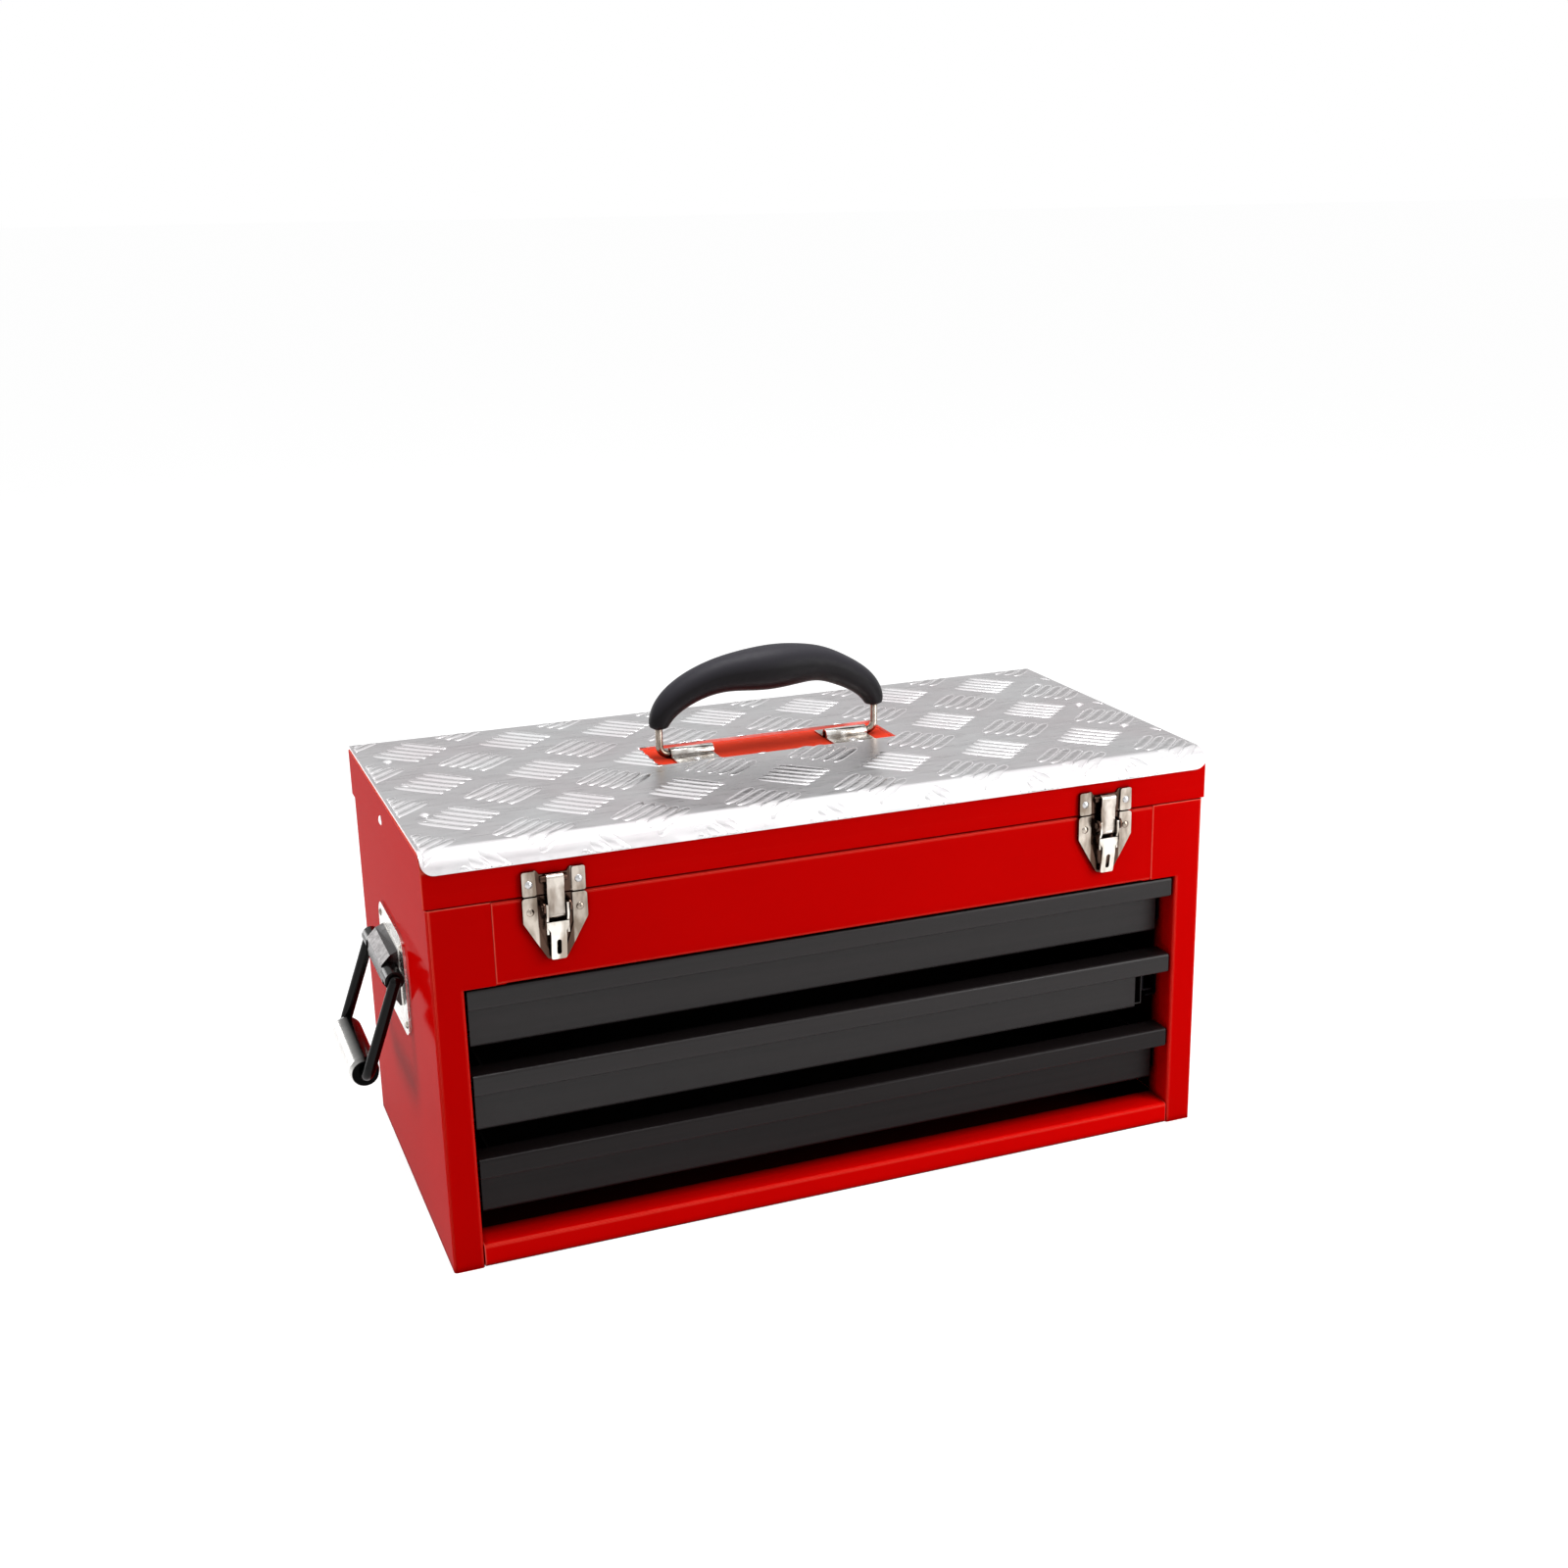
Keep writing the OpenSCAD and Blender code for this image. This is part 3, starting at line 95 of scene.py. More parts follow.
def make_camera():
    data = bpy.data.cameras.new("camera")
    data.sensor_width = SENSOR
    data.lens = SENSOR * FOCAL_PIXELS / PICTURE
    data.shift_x = (PICTURE / 2 - AXIS_X) / PICTURE
    data.shift_y = (AXIS_Y - PICTURE / 2) / PICTURE
    data.clip_start = 0.01
    data.clip_end = 100
    camera = bpy.data.objects.new("camera", data)
    camera.location = CAMERA_PLACE
    camera.rotation_euler = [math.radians(a) for a in CAMERA_TURN]
    bpy.context.collection.objects.link(camera)
    bpy.context.scene.camera = camera


# ---------------------------------------------------------------- material helpers


def srgb(r, g, b):
    """A colour given in 0 to 255 as the shader's linear values."""
    return [(c / 255 / 12.92 if c <= 10 else ((c / 255 + 0.055) / 1.055) ** 2.4) for c in (r, g, b)] + [1.0]


class Paint:
    """A principled material with short calls for the nodes that drive it."""

    def __init__(self, name, color, roughness, metallic=0.0, specular=0.5, coat=0.0, coat_roughness=0.1):
        self.material = bpy.data.materials.new(name)
        self.material.use_nodes = True
        self.tree = self.material.node_tree
        self.shader = self.tree.nodes["Principled BSDF"]
        self.shader.inputs["Base Color"].default_value = color
        self.shader.inputs["Roughness"].default_value = roughness
        self.shader.inputs["Metallic"].default_value = metallic
        self.shader.inputs["Specular IOR Level"].default_value = specular
        self.shader.inputs["Coat Weight"].default_value = coat
        self.shader.inputs["Coat Roughness"].default_value = coat_roughness
        self.color = color
        self.place = self.tree.nodes.new("ShaderNodeTexCoord").outputs["Object"]

    def feed(self, socket, value):
        """Links the socket to another node's output, or sets it to a number or colour."""
        if isinstance(value, bpy.types.NodeSocket):
            self.tree.links.new(value, socket)
        else:
            socket.default_value = value

    def node(self, kind, **inputs):
        made = self.tree.nodes.new(kind)
        for key, value in inputs.items():
            self.feed(made.inputs[key.replace("_", " ")], value)
        return made

    def stretched(self, x=1.0, y=1.0, z=1.0):
        """The object's own coordinates in metres, stretched by these factors."""
        return self.node("ShaderNodeMapping", Vector=self.place, Scale=(x, y, z)).outputs["Vector"]

    def noise(self, scale, detail=3.0, roughness=0.55, vector=None):
        made = self.node("ShaderNodeTexNoise", Vector=vector or self.place, Scale=scale, Detail=detail,
                         Roughness=roughness)
        return made.outputs["Fac"]

    def ramp(self, value, low, high, start=0.3, end=0.7):
        """value between start and end mapped to low and high."""
        made = self.node("ShaderNodeMapRange", Value=value, From_Min=start, From_Max=end, To_Min=low, To_Max=high)
        return made.outputs["Result"]

    def mixed(self, factor, first, second):
        made = self.tree.nodes.new("ShaderNodeMix")
        made.data_type = "RGBA"
        for index, value in ((0, factor), (6, first), (7, second)):
            self.feed(made.inputs[index], value)
        return made.outputs[2]

    def math(self, operation, first, second=0.0):
        made = self.tree.nodes.new("ShaderNodeMath")
        made.operation = operation
        for socket, value in zip(made.inputs, (first, second)):
            self.feed(socket, value)
        return made.outputs[0]

    def along(self, axis):
        """The place's own x, y or z in metres."""
        return self.node("ShaderNodeSeparateXYZ", Vector=self.place).outputs[axis]

    def facing(self, axis):
        """How far the surface looks along the object's own x, y or z."""
        normal = self.tree.nodes.new("ShaderNodeTexCoord").outputs["Normal"]
        return self.node("ShaderNodeSeparateXYZ", Vector=normal).outputs[axis]

    def edge_light(self, radius, towards):
        """How far the rounded edge turns a face towards this direction: 0 on the flat."""
        soft = self.node("ShaderNodeBevel", Radius=radius)
        soft.samples = 6
        flat = self.node("ShaderNodeNewGeometry")
        turns = []
        for normal in (soft.outputs["Normal"], flat.outputs["True Normal"]):
            dot = self.tree.nodes.new("ShaderNodeVectorMath")
            dot.operation = "DOT_PRODUCT"
            self.tree.links.new(normal, dot.inputs[0])
            dot.inputs[1].default_value = towards
            turns.append(dot.outputs["Value"])
        return self.math("SUBTRACT", *turns)

    def drive(self, name, value):
        self.tree.links.new(value, self.shader.inputs[name])

    def bump(self, height, depth, below=None):
        """A bump whose full height is depth in metres."""
        made = self.node("ShaderNodeBump", Height=height, Distance=depth, Strength=1.0)
        if below:
            self.tree.links.new(below, made.inputs["Normal"])
        self.drive("Normal", made.outputs["Normal"])
        return made.outputs["Normal"]


def scaled(color, k):
    return [c * k for c in color[:3]] + [1.0]


# ---------------------------------------------------------------- materials


def shaded_hollows(p, light, dark, reach, low, high):
    """Painted shade: darkens the paint where the surface is shut in, on top of what the light does."""
    shut = p.node("ShaderNodeAmbientOcclusion", Distance=reach)
    shut.samples = 8
    return p.mixed(p.ramp(shut.outputs["AO"], 0.0, 1.0, low, high), dark, light)


def red_enamel(name, level):
    """Smooth gloss enamel: the thin coat reflects only at a slant, so the front stays a full red."""
    p = Paint(name, [level, level * 0.0012, level * 0.0009, 1], 0.4, specular=0.0, coat=0.2, coat_roughness=0.06)
    p.shader.inputs["Coat IOR"].default_value = 1.09
    cloud = p.noise(7.0, detail=2.0)
    paint = p.mixed(p.ramp(cloud, 0.0, 1.0), scaled(p.color, 0.97), scaled(p.color, 1.03))
    # folds have a light line along their edge, painted and brighter towards the upper left
    caught = p.ramp(p.edge_light(1.5 * MM, (-0.55, 0.0, 0.84)), 0.0, 1.0, 0.02, 0.18)
    paint = p.mixed(caught, paint, [1.0, 0.12, 0.08, 1])
    # painted shade darkens the paint right under a sheet's edge and along a seam
    paint = shaded_hollows(p, paint, [0.16, 0.0, 0.0, 1], 0.006, 0.3, 0.92)
    # painted light: the lid's top, seen in the tread plate's cut-out, is painted a brighter red, as if lit more
    painted_lit_recess = p.ramp(p.along("Z"), 0.0, 1.0, lid_high.z - 0.6 * MM, lid_high.z - 0.3 * MM)
    paint = p.mixed(painted_lit_recess, paint, [0.86, 0.06, 0.025, 1])
    # painted shade: the bay behind the drawer fronts is painted dark
    deep = p.ramp(p.along("Y"), 0.0, 1.0, BAY_Y - 5 * MM, BAY_Y + 6 * MM)
    below = p.ramp(p.along("Z"), 1.0, 0.0, BAY_TOP - 2 * MM, BAY_TOP)
    inner = p.ramp(p.math("ABSOLUTE", p.along("X")), 1.0, 0.0, BAY_X, BAY_X + 0.4 * MM)
    before = p.ramp(p.along("Y"), 1.0, 0.0, BAY_BACK - 0.5 * MM, BAY_BACK - 0.2 * MM)
    above = p.ramp(p.along("Z"), 0.0, 1.0, 0.2 * MM, 0.5 * MM)
    bay = deep
    for limit in (below, inner, before, above):
        bay = p.math("MULTIPLY", bay, limit)
    paint = p.mixed(bay, paint, [0.03, 0.0015, 0.001, 1])
    # painted shade: darker still where the surface is shut in over a few centimetres
    p.drive("Base Color", shaded_hollows(p, paint, [0.02, 0.0, 0.0, 1], 0.03, 0.06, 0.34))
    p.drive("Roughness", p.ramp(p.noise(160.0), 0.36, 0.44))
    p.bump(p.noise(380.0, detail=1.0, roughness=0.4), 0.000004)
    return p.material


def enamel_edge():
    """The paint on a folded or cut edge, painted lighter than on the flat as a highlight along the edge."""
    p = Paint("red_enamel_edge", [0.76, 0.012, 0.01, 1], 0.34, specular=0.0, coat=1.0, coat_roughness=0.3)
    # painted highlight along the edge, varied by this noise
    thin = p.noise(90.0, detail=4.0)
    p.drive("Base Color", p.mixed(p.ramp(thin, 0.0, 1.0), p.color, [0.9, 0.1, 0.07, 1]))
    p.drive("Roughness", p.ramp(p.noise(300.0), 0.28, 0.42))
    return p.material


def drawer_enamel(name, specular):
    """Black satin paint, finely grained: its dark grey is mostly the room's reflection."""
    p = Paint(name, [0.0102, 0.0074, 0.0076, 1], 0.36, specular=specular)
    streak = p.noise(26.0, detail=3.0, vector=p.stretched(0.1, 1.0, 5.0))
    paint = p.mixed(p.ramp(streak, 0.0, 1.0), scaled(p.color, 0.8), scaled(p.color, 1.25))
    # painted shade darkens the paint where shut in, as on the lips' tops
    p.drive("Base Color", shaded_hollows(p, paint, [0.0005, 0.0004, 0.0004, 1], 0.03, 0.2, 0.6))
    p.drive("Roughness", p.ramp(p.noise(240.0), 0.33, 0.41))
    p.bump(p.noise(900.0, detail=3.0), 0.000012)
    return p.material


def tread_aluminium(name, color, low, high):
    p = Paint(name, color, (low + high) / 2, metallic=1.0)
    grain = p.noise(50.0, detail=6.0, roughness=0.65, vector=p.stretched(1.0, 12.0, 1.0))
    blotch = p.noise(16.0, detail=3.0)
    warm = [color[0] * 0.95, color[1] * 0.9, color[2] * 0.91, 1]
    unshaded_tone = p.mixed(p.ramp(blotch, 0.0, 1.0), warm, scaled(color, 1.02))
    # painted shade: the nose is painted greyer below its bend
    nose_shade_height = p.math("ADD", p.along("Z"), p.ramp(p.noise(60.0, detail=4.0), -2 * MM, 2 * MM))
    front = p.ramp(p.along("Y"), 1.0, 0.0, plate_low.y + 1 * MM, plate_low.y + 4 * MM)
    grey = p.math("MULTIPLY", p.ramp(nose_shade_height, 1.0, 0.0, NOSE_Z - 3 * MM, NOSE_Z + 3 * MM), front)
    p.drive("Base Color", p.mixed(grey, unshaded_tone, scaled(color, 0.6)))
    p.drive("Roughness", p.ramp(grain, low, high))
    p.bump(grain, 0.000012)
    return p.material


def nickel(name, color, pocket=0.0):
    """Plating with a painted shade, dark brown, in the pocket of this half width that the latches' levers lie in.
    """
    p = Paint(name, color, 0.2, metallic=1.0)
    brown = [color[0] * 0.46, color[1] * 0.41, color[2] * 0.37, 1]
    streak = p.noise(95.0, detail=3.0, vector=p.stretched(1.0, 1.0, 0.4))
    streaks_and_pocket_shade = p.mixed(p.ramp(streak, 0.0, 1.0, 0.38, 0.6), brown, scaled(color, 1.08))
    if pocket:
        across = p.math("ABSOLUTE", p.math("SUBTRACT", p.math("ABSOLUTE", p.along("X")), LATCH_X))
        inside = p.ramp(across, 1.0, 0.0, pocket - 0.5 * MM, pocket + 0.3 * MM)
        # painted shade in the pocket that a lever lies in
        streaks_and_pocket_shade = p.mixed(inside, streaks_and_pocket_shade, srgb(84, 64, 54))
    # painted shade where the surface is shut in
    p.drive("Base Color", shaded_hollows(p, streaks_and_pocket_shade, srgb(50, 36, 31), 0.007, 0.3, 0.95))
    p.drive("Roughness", p.ramp(p.noise(260.0, detail=4.0), 0.14, 0.28))
    p.bump(p.noise(150.0, detail=2.0), 0.00008)
    return p.material


def plated_bracket():
    """The side handle's plate is bright, its housing has a darker plating."""
    p = Paint("plated_bracket", srgb(232, 230, 226), 0.2, metallic=1.0)
    raised = p.ramp(p.math("ABSOLUTE", p.along("X")), 0.0, 1.0, HOUSING_FOOT, HOUSING_FOOT + 0.4 * MM)
    p.drive("Base Color", p.mixed(raised, p.color, srgb(62, 57, 57)))
    p.drive("Roughness", p.ramp(p.noise(240.0, detail=3.0), 0.16, 0.3))
    p.bump(p.noise(160.0, detail=2.0), 0.00002)
    return p.material


def zinc():
    p = Paint("zinc", srgb(196, 197, 196), 0.34, metallic=1.0)
    spangle = p.node("ShaderNodeTexVoronoi", Vector=p.place, Scale=180.0).outputs["Color"]
    shade = p.node("ShaderNodeSeparateColor", Color=spangle).outputs["Red"]
    p.drive("Base Color", p.mixed(shade, scaled(p.color, 0.82), p.color))
    p.drive("Roughness", p.ramp(shade, 0.28, 0.42, 0.0, 1.0))
    p.bump(p.noise(260.0), 0.00001)
    return p.material


def dark_zinc():
    p = Paint("dark_zinc", srgb(26, 26, 29), 0.5, metallic=1.0)
    streak = p.noise(60.0, detail=5.0, vector=p.stretched(1.0, 0.1, 3.0))
    p.drive("Base Color", p.mixed(p.ramp(streak, 0.0, 1.0), scaled(p.color, 0.7), scaled(p.color, 1.15)))
    p.drive("Roughness", p.ramp(p.noise(300.0), 0.34, 0.48))
    p.bump(streak, 0.00001)
    return p.material


def black_gloss():
    p = Paint("black_gloss_paint", [0.002, 0.002, 0.002 * 1.04, 1], 0.19, specular=0.1, coat=0.12,
              coat_roughness=0.16)
    p.shader.inputs["Coat IOR"].default_value = 1.5
    cloud = p.noise(60.0, detail=3.0)
    p.drive("Base Color", p.mixed(p.ramp(cloud, 0.0, 1.0), scaled(p.color, 0.7), scaled(p.color, 1.3)))
    p.drive("Roughness", p.ramp(p.noise(240.0), 0.14, 0.24))
    p.bump(p.noise(420.0, detail=2.0), 0.000012)
    return p.material


def side_grip_painted_highlight():
    """Black, with a painted highlight: pale and shiny on the outboard side of its barrel, where the photo is near
    white.
    """
    p = Paint("side_grip_painted_highlight", [0.003, 0.003, 0.003, 1], 0.2, metallic=1.0)
    cloud = p.noise(90.0, detail=3.0)
    pale = p.mixed(p.ramp(cloud, 0.0, 1.0), [0.62, 0.61, 0.59, 1], [0.8, 0.79, 0.77, 1])
    outboard = p.math("MULTIPLY", p.facing("X"), p.math("SIGN", p.along("X")))
    barrel = p.ramp(p.math("ABSOLUTE", p.facing("Y")), 1.0, 0.0, 0.2, 0.5)
    # painted highlight on the outboard side of the barrel
    outboard_highlight = p.math("MULTIPLY", p.math("POWER", p.ramp(outboard, 0.0, 1.0, -0.1, 0.9), 1.5), barrel)
    p.drive("Base Color", p.mixed(outboard_highlight, p.color, pale))
    p.drive("Roughness", p.ramp(p.noise(240.0), 0.16, 0.26))
    p.bump(p.noise(420.0, detail=2.0), 0.000012)
    return p.material


def soft_grip():
    p = Paint("soft_grip", [0.004, 0.003, 0.004, 1], 0.34, specular=0.14)
    p.shader.inputs["Sheen Weight"].default_value = 0.03
    p.shader.inputs["Sheen Roughness"].default_value = 0.35
    pores = p.node("ShaderNodeTexVoronoi", Vector=p.place, Scale=800.0).outputs["Distance"]
    cloud = p.noise(45.0, detail=3.0)
    skin = p.mixed(p.ramp(cloud, 0.0, 1.0), scaled(p.color, 0.8), scaled(p.color, 1.15))
    # painted light: the upward side of the grip is painted paler
    back = p.ramp(p.facing("Z"), 0.0, 1.0, 0.1, 0.85)
    p.drive("Base Color", p.mixed(back, skin, [0.038, 0.036, 0.044, 1]))
    p.drive("Roughness", p.ramp(p.noise(300.0), 0.4, 0.52))
    fine = p.bump(p.noise(1200.0, detail=2.0), 0.00003)
    p.bump(pores, 0.00004, below=fine)
    return p.material


PLATE_COLOR = srgb(232, 232, 233)
FINISH = {
    "red_paint": red_enamel("red_enamel", 0.66),
    "drawer_paint": drawer_enamel("drawer_enamel", 0.31),
    "tread_aluminium": tread_aluminium("tread_sheet", scaled(PLATE_COLOR, 1.15), 0.25, 0.36),
    "nickel_plate": nickel("nickel", srgb(190, 180, 169), pocket=LATCH_POCKET),
    "zinc_steel": zinc(),
    "slide_steel": dark_zinc(),
    "cage_steel": zinc(),
    "black_paint": black_gloss(),
    "side_grip_plastic": side_grip_painted_highlight(),
    "soft_grip": soft_grip(),
}
BAR_FINISH = tread_aluminium("tread_bars", scaled(PLATE_COLOR, 1.18), 0.2, 0.3)
NODE_FINISH = {
    "lid_rivets": FINISH["tread_aluminium"],
    # painted light: the base panel, with the ledge in front of the drawers, gets a brighter copy of the red
    # enamel
    "base_panel": red_enamel("red_enamel_rail_lit", 0.82),
    # the stay's studs on the lid get a darker, browner nickel
    "stay_studs_lid": nickel("darker_studs", srgb(150, 134, 124)),
    # painted shade: the bottom drawer's front gets a copy of the enamel that reflects less, so it looks darker
    "drawer_front_3": drawer_enamel("drawer_enamel_shaded", 0.15),
    "handle_plate": plated_bracket(),
    # painted highlight: the latch levers get a paler copy of the nickel
    "latch_lever": nickel("lever_nickel_highlight", srgb(236, 230, 221)),
    "latch_hook": nickel("hook_nickel", srgb(204, 196, 187)),
    "handle_saddles": nickel("saddle_nickel", srgb(240, 238, 234)),
}
EDGE_FINISH = {"red_paint": enamel_edge()}
BROKEN_EDGES = {"red_paint": 0.45, "drawer_paint": 0.3, "nickel_plate": 0.3}  # in mm
EDGE_ANGLE = 42
WELD_WITHIN = 0.001 * MM
PLATE_EDGE = 0.4 * MM
PLATE_EDGE_ANGLE = 50


def break_edges(obj, width, angle):
    """Rounds the edges that are sharper than this angle."""
    edge = obj.modifiers.new("edges", "BEVEL")
    edge.width = width
    edge.segments = 2
    edge.limit_method = "ANGLE"
    edge.angle_limit = math.radians(angle)
    edge.harden_normals = True
    return edge


def finish_nodes():
    """Each carried-over node gets the finish of its slot, and its sheet edges are broken a little."""
    for part in frame["record"]["subparts"]:
        node = NODES[part["node"]]
        slot = part["material_slot"]
        special = [finish for start, finish in NODE_FINISH.items() if part["node"].startswith(start)]
        node.data.materials.clear()
        node.data.materials.append(special[0] if special else FINISH[slot])
        if slot in BROKEN_EDGES:
            weld = node.modifiers.new("weld", "WELD")
            weld.merge_threshold = WELD_WITHIN
            edge = break_edges(node, BROKEN_EDGES[slot] * MM, EDGE_ANGLE)
            if slot in EDGE_FINISH:
                node.data.materials.append(EDGE_FINISH[slot])
                edge.material = 1


# ---------------------------------------------------------------- mesh helpers


def add_mesh(name, verts, faces, material):
    mesh = bpy.data.meshes.new(name)
    mesh.from_pydata([tuple(v) for v in verts], [], faces)
    return smooth_object(name, mesh, material)


def add_bmesh(name, bm, material):
    mesh = bpy.data.meshes.new(name)
    bm.to_mesh(mesh)
    bm.free()
    return smooth_object(name, mesh, material)


def smooth_object(name, mesh, material):
    mesh.materials.append(material)
    for polygon in mesh.polygons:
        polygon.use_smooth = True
    obj = bpy.data.objects.new(name, mesh)
    bpy.context.collection.objects.link(obj)
    return obj


# ---------------------------------------------------------------- tread plate


def bent(x, y, height):
    """A place over the flat plate carried onto the real one: past NOSE_Y it follows the nose."""
    if y >= NOSE_Y:
        return Vector((x, y, PLATE_TOP + height))
    run = NOSE_Y - y
    if run > NOSE_ARC:
        return Vector((x, NOSE_Y - OUTER_R - height, NOSE_Z - (run - NOSE_ARC)))
    a = run / OUTER_R
    r = OUTER_R + height
    return Vector((x, NOSE_Y - r * math.sin(a), NOSE_Z + r * math.cos(a)))


def lowest_at(x):
    """Lower edge of the nose at x: its corners are rounded."""
    inside = plate_high.x - abs(x)
    if inside >= CORNER_R:
        return plate_low.z
    return plate_low.z + CORNER_R - math.sqrt(CORNER_R**2 - (CORNER_R - inside) ** 2)


def run_to(z):
    """How far the plate runs past NOSE_Y until it is down at height z."""
    if z <= NOSE_Z:
        return NOSE_ARC + NOSE_Z - z
    return OUTER_R * math.acos(min(1, (z - NOSE_Z) / OUTER_R))


def spread(a, b, n):
    return [a + (b - a) * i / n for i in range(n)]


ACROSS_STEPS = 8  # in each stretch of the plate's width, and in its rounded corners
DEPTH_STEPS = 4
NOSE_STEPS = 20


def plate_sheet():
    half, n, m, steps = plate_high.x, ACROSS_STEPS, DEPTH_STEPS, NOSE_STEPS
    ends = [half - CORNER_R * (1 - math.cos(math.pi / 2 * i / n)) for i in range(n + 1)]
    xs = [-e for e in ends] + spread(-half + CORNER_R, CUTOUT_X[0], n)[1:]
    xs += spread(CUTOUT_X[0], CUTOUT_X[1], n) + spread(CUTOUT_X[1], half - CORNER_R, n) + ends[::-1]
    flat = spread(plate_high.y, CUTOUT_Y[1], m) + spread(CUTOUT_Y[1], CUTOUT_Y[0], m)
    flat += spread(CUTOUT_Y[0], NOSE_Y, m) + [NOSE_Y]
    bm = bmesh.new()
    rows = []
    for x in xs:
        run = run_to(lowest_at(x))
        ys = flat + [NOSE_Y - run * (i + 1) / steps for i in range(steps)]
        rows.append([bm.verts.new(bent(x, y, 0)) for y in ys])
    for i in range(len(xs) - 1):
        for j in range(len(flat) - 1 + steps):
            mid_x = (xs[i] + xs[i + 1]) / 2
            mid_y = (flat[j] + flat[j + 1]) / 2 if j < len(flat) - 1 else NOSE_Y
            if CUTOUT_X[0] < mid_x < CUTOUT_X[1] and CUTOUT_Y[0] < mid_y < CUTOUT_Y[1]:
                continue
            bm.faces.new((rows[i][j], rows[i][j + 1], rows[i + 1][j + 1], rows[i + 1][j]))
    bmesh.ops.delete(bm, geom=[v for v in bm.verts if not v.link_faces], context="VERTS")
    bmesh.ops.recalc_face_normals(bm, faces=bm.faces)
    if max(bm.faces, key=lambda f: f.calc_center_median().z).normal.z < 0:
        bmesh.ops.reverse_faces(bm, faces=bm.faces)
    sheet = add_bmesh("tread_sheet", bm, FINISH["tread_aluminium"])
    thick = sheet.modifiers.new("thickness", "SOLIDIFY")
    thick.thickness = PLATE_T
    thick.offset = -1
    break_edges(sheet, PLATE_EDGE, PLATE_EDGE_ANGLE)
    return sheet


# The tread pattern, as in the solid: groups of bars at right angles in a half-step grid
TREAD_X = -9 * MM
TREAD_Y = 13 * MM
GROUP_X = 72 * MM
GROUP_Y = 80 * MM
BAR_LEN = 37 * MM
BAR_W = 7.7 * MM
BAR_H = 0.75 * MM
BAR_SINK = 0.3 * MM
BAR_END = 0.06  # share of the width that a bar keeps at its very end
RIM_SINK = 0.02 * MM  # the rounded back meets the plate this far below its face
PLAIN_MARGIN = 2 * MM  # the plate's ends and rear edge stay plain
CORNER_MARGIN = 0.5 * MM  # and so do the nose's rounded lower corners
GRID_REACH = 9  # half steps to each side that the grid is tried over
BARS = 5
BAR_PITCH = 8 * MM
BAR_STEPS = 18
BAR_RINGS = 8
BAR_BLUNT = 5  # a higher power makes the ends blunter
BAR_ROOF = 1.6  # near 1 the flanks are flat, at 2 the back is round


def add_bar(bm, centre, angle):
    """A raised bar with tapered ends and a round back, closed below."""
    along = Vector((math.cos(angle), math.sin(angle)))
    across = Vector((-along.y, along.x))
    rows = []
    for i in range(BAR_STEPS + 1):
        u = -math.cos(math.pi * i / BAR_STEPS)
        taper = max(0.0, 1 - abs(u) ** BAR_BLUNT) ** 0.5
        row = []
        for j in range(BAR_RINGS + 1):
            v = 2 * j / BAR_RINGS - 1
            height = BAR_H * taper * (1 - abs(v) ** BAR_ROOF) - RIM_SINK
            p = centre + along * u * BAR_LEN / 2 + across * v * BAR_W / 2 * max(taper, BAR_END)
            row.append(bm.verts.new((p.x, p.y, height)))
        rows.append(row)
    for a, b in zip(rows, rows[1:]):
        for j in range(BAR_RINGS):
            bm.faces.new((a[j], b[j], b[j + 1], a[j + 1]))
    rim = [r[0] for r in rows] + rows[-1][1:] + [r[-1] for r in rows[-2::-1]] + rows[0][-2:0:-1]
    low = [bm.verts.new((v.co.x, v.co.y, -BAR_SINK)) for v in rim]
    for k in range(len(rim)):
        n = (k + 1) % len(rim)
        bm.faces.new((rim[n], rim[k], low[k], low[n]))
    # the underside goes in steps too, so that it follows the nose's bend and stays out of the lid
    right = BAR_STEPS * 2 + BAR_RINGS
    for i in range(1, BAR_STEPS - 1):
        bm.faces.new((low[i], low[i + 1], low[right - i - 1], low[right - i]))
    bm.faces.new([low[0], low[1]] + low[right - 1:])
    bm.faces.new(low[BAR_STEPS - 1:BAR_STEPS + BAR_RINGS + 2])


def cut(bm, place, normal, keep_both=False):
    """Cuts the flat bars along an upright plane and drops what lies in front of its normal."""
    geom = bm.verts[:] + bm.edges[:] + bm.faces[:]
    bmesh.ops.bisect_plane(bm, geom=geom, dist=1e-7, plane_co=place, plane_no=normal, clear_outer=not keep_both)


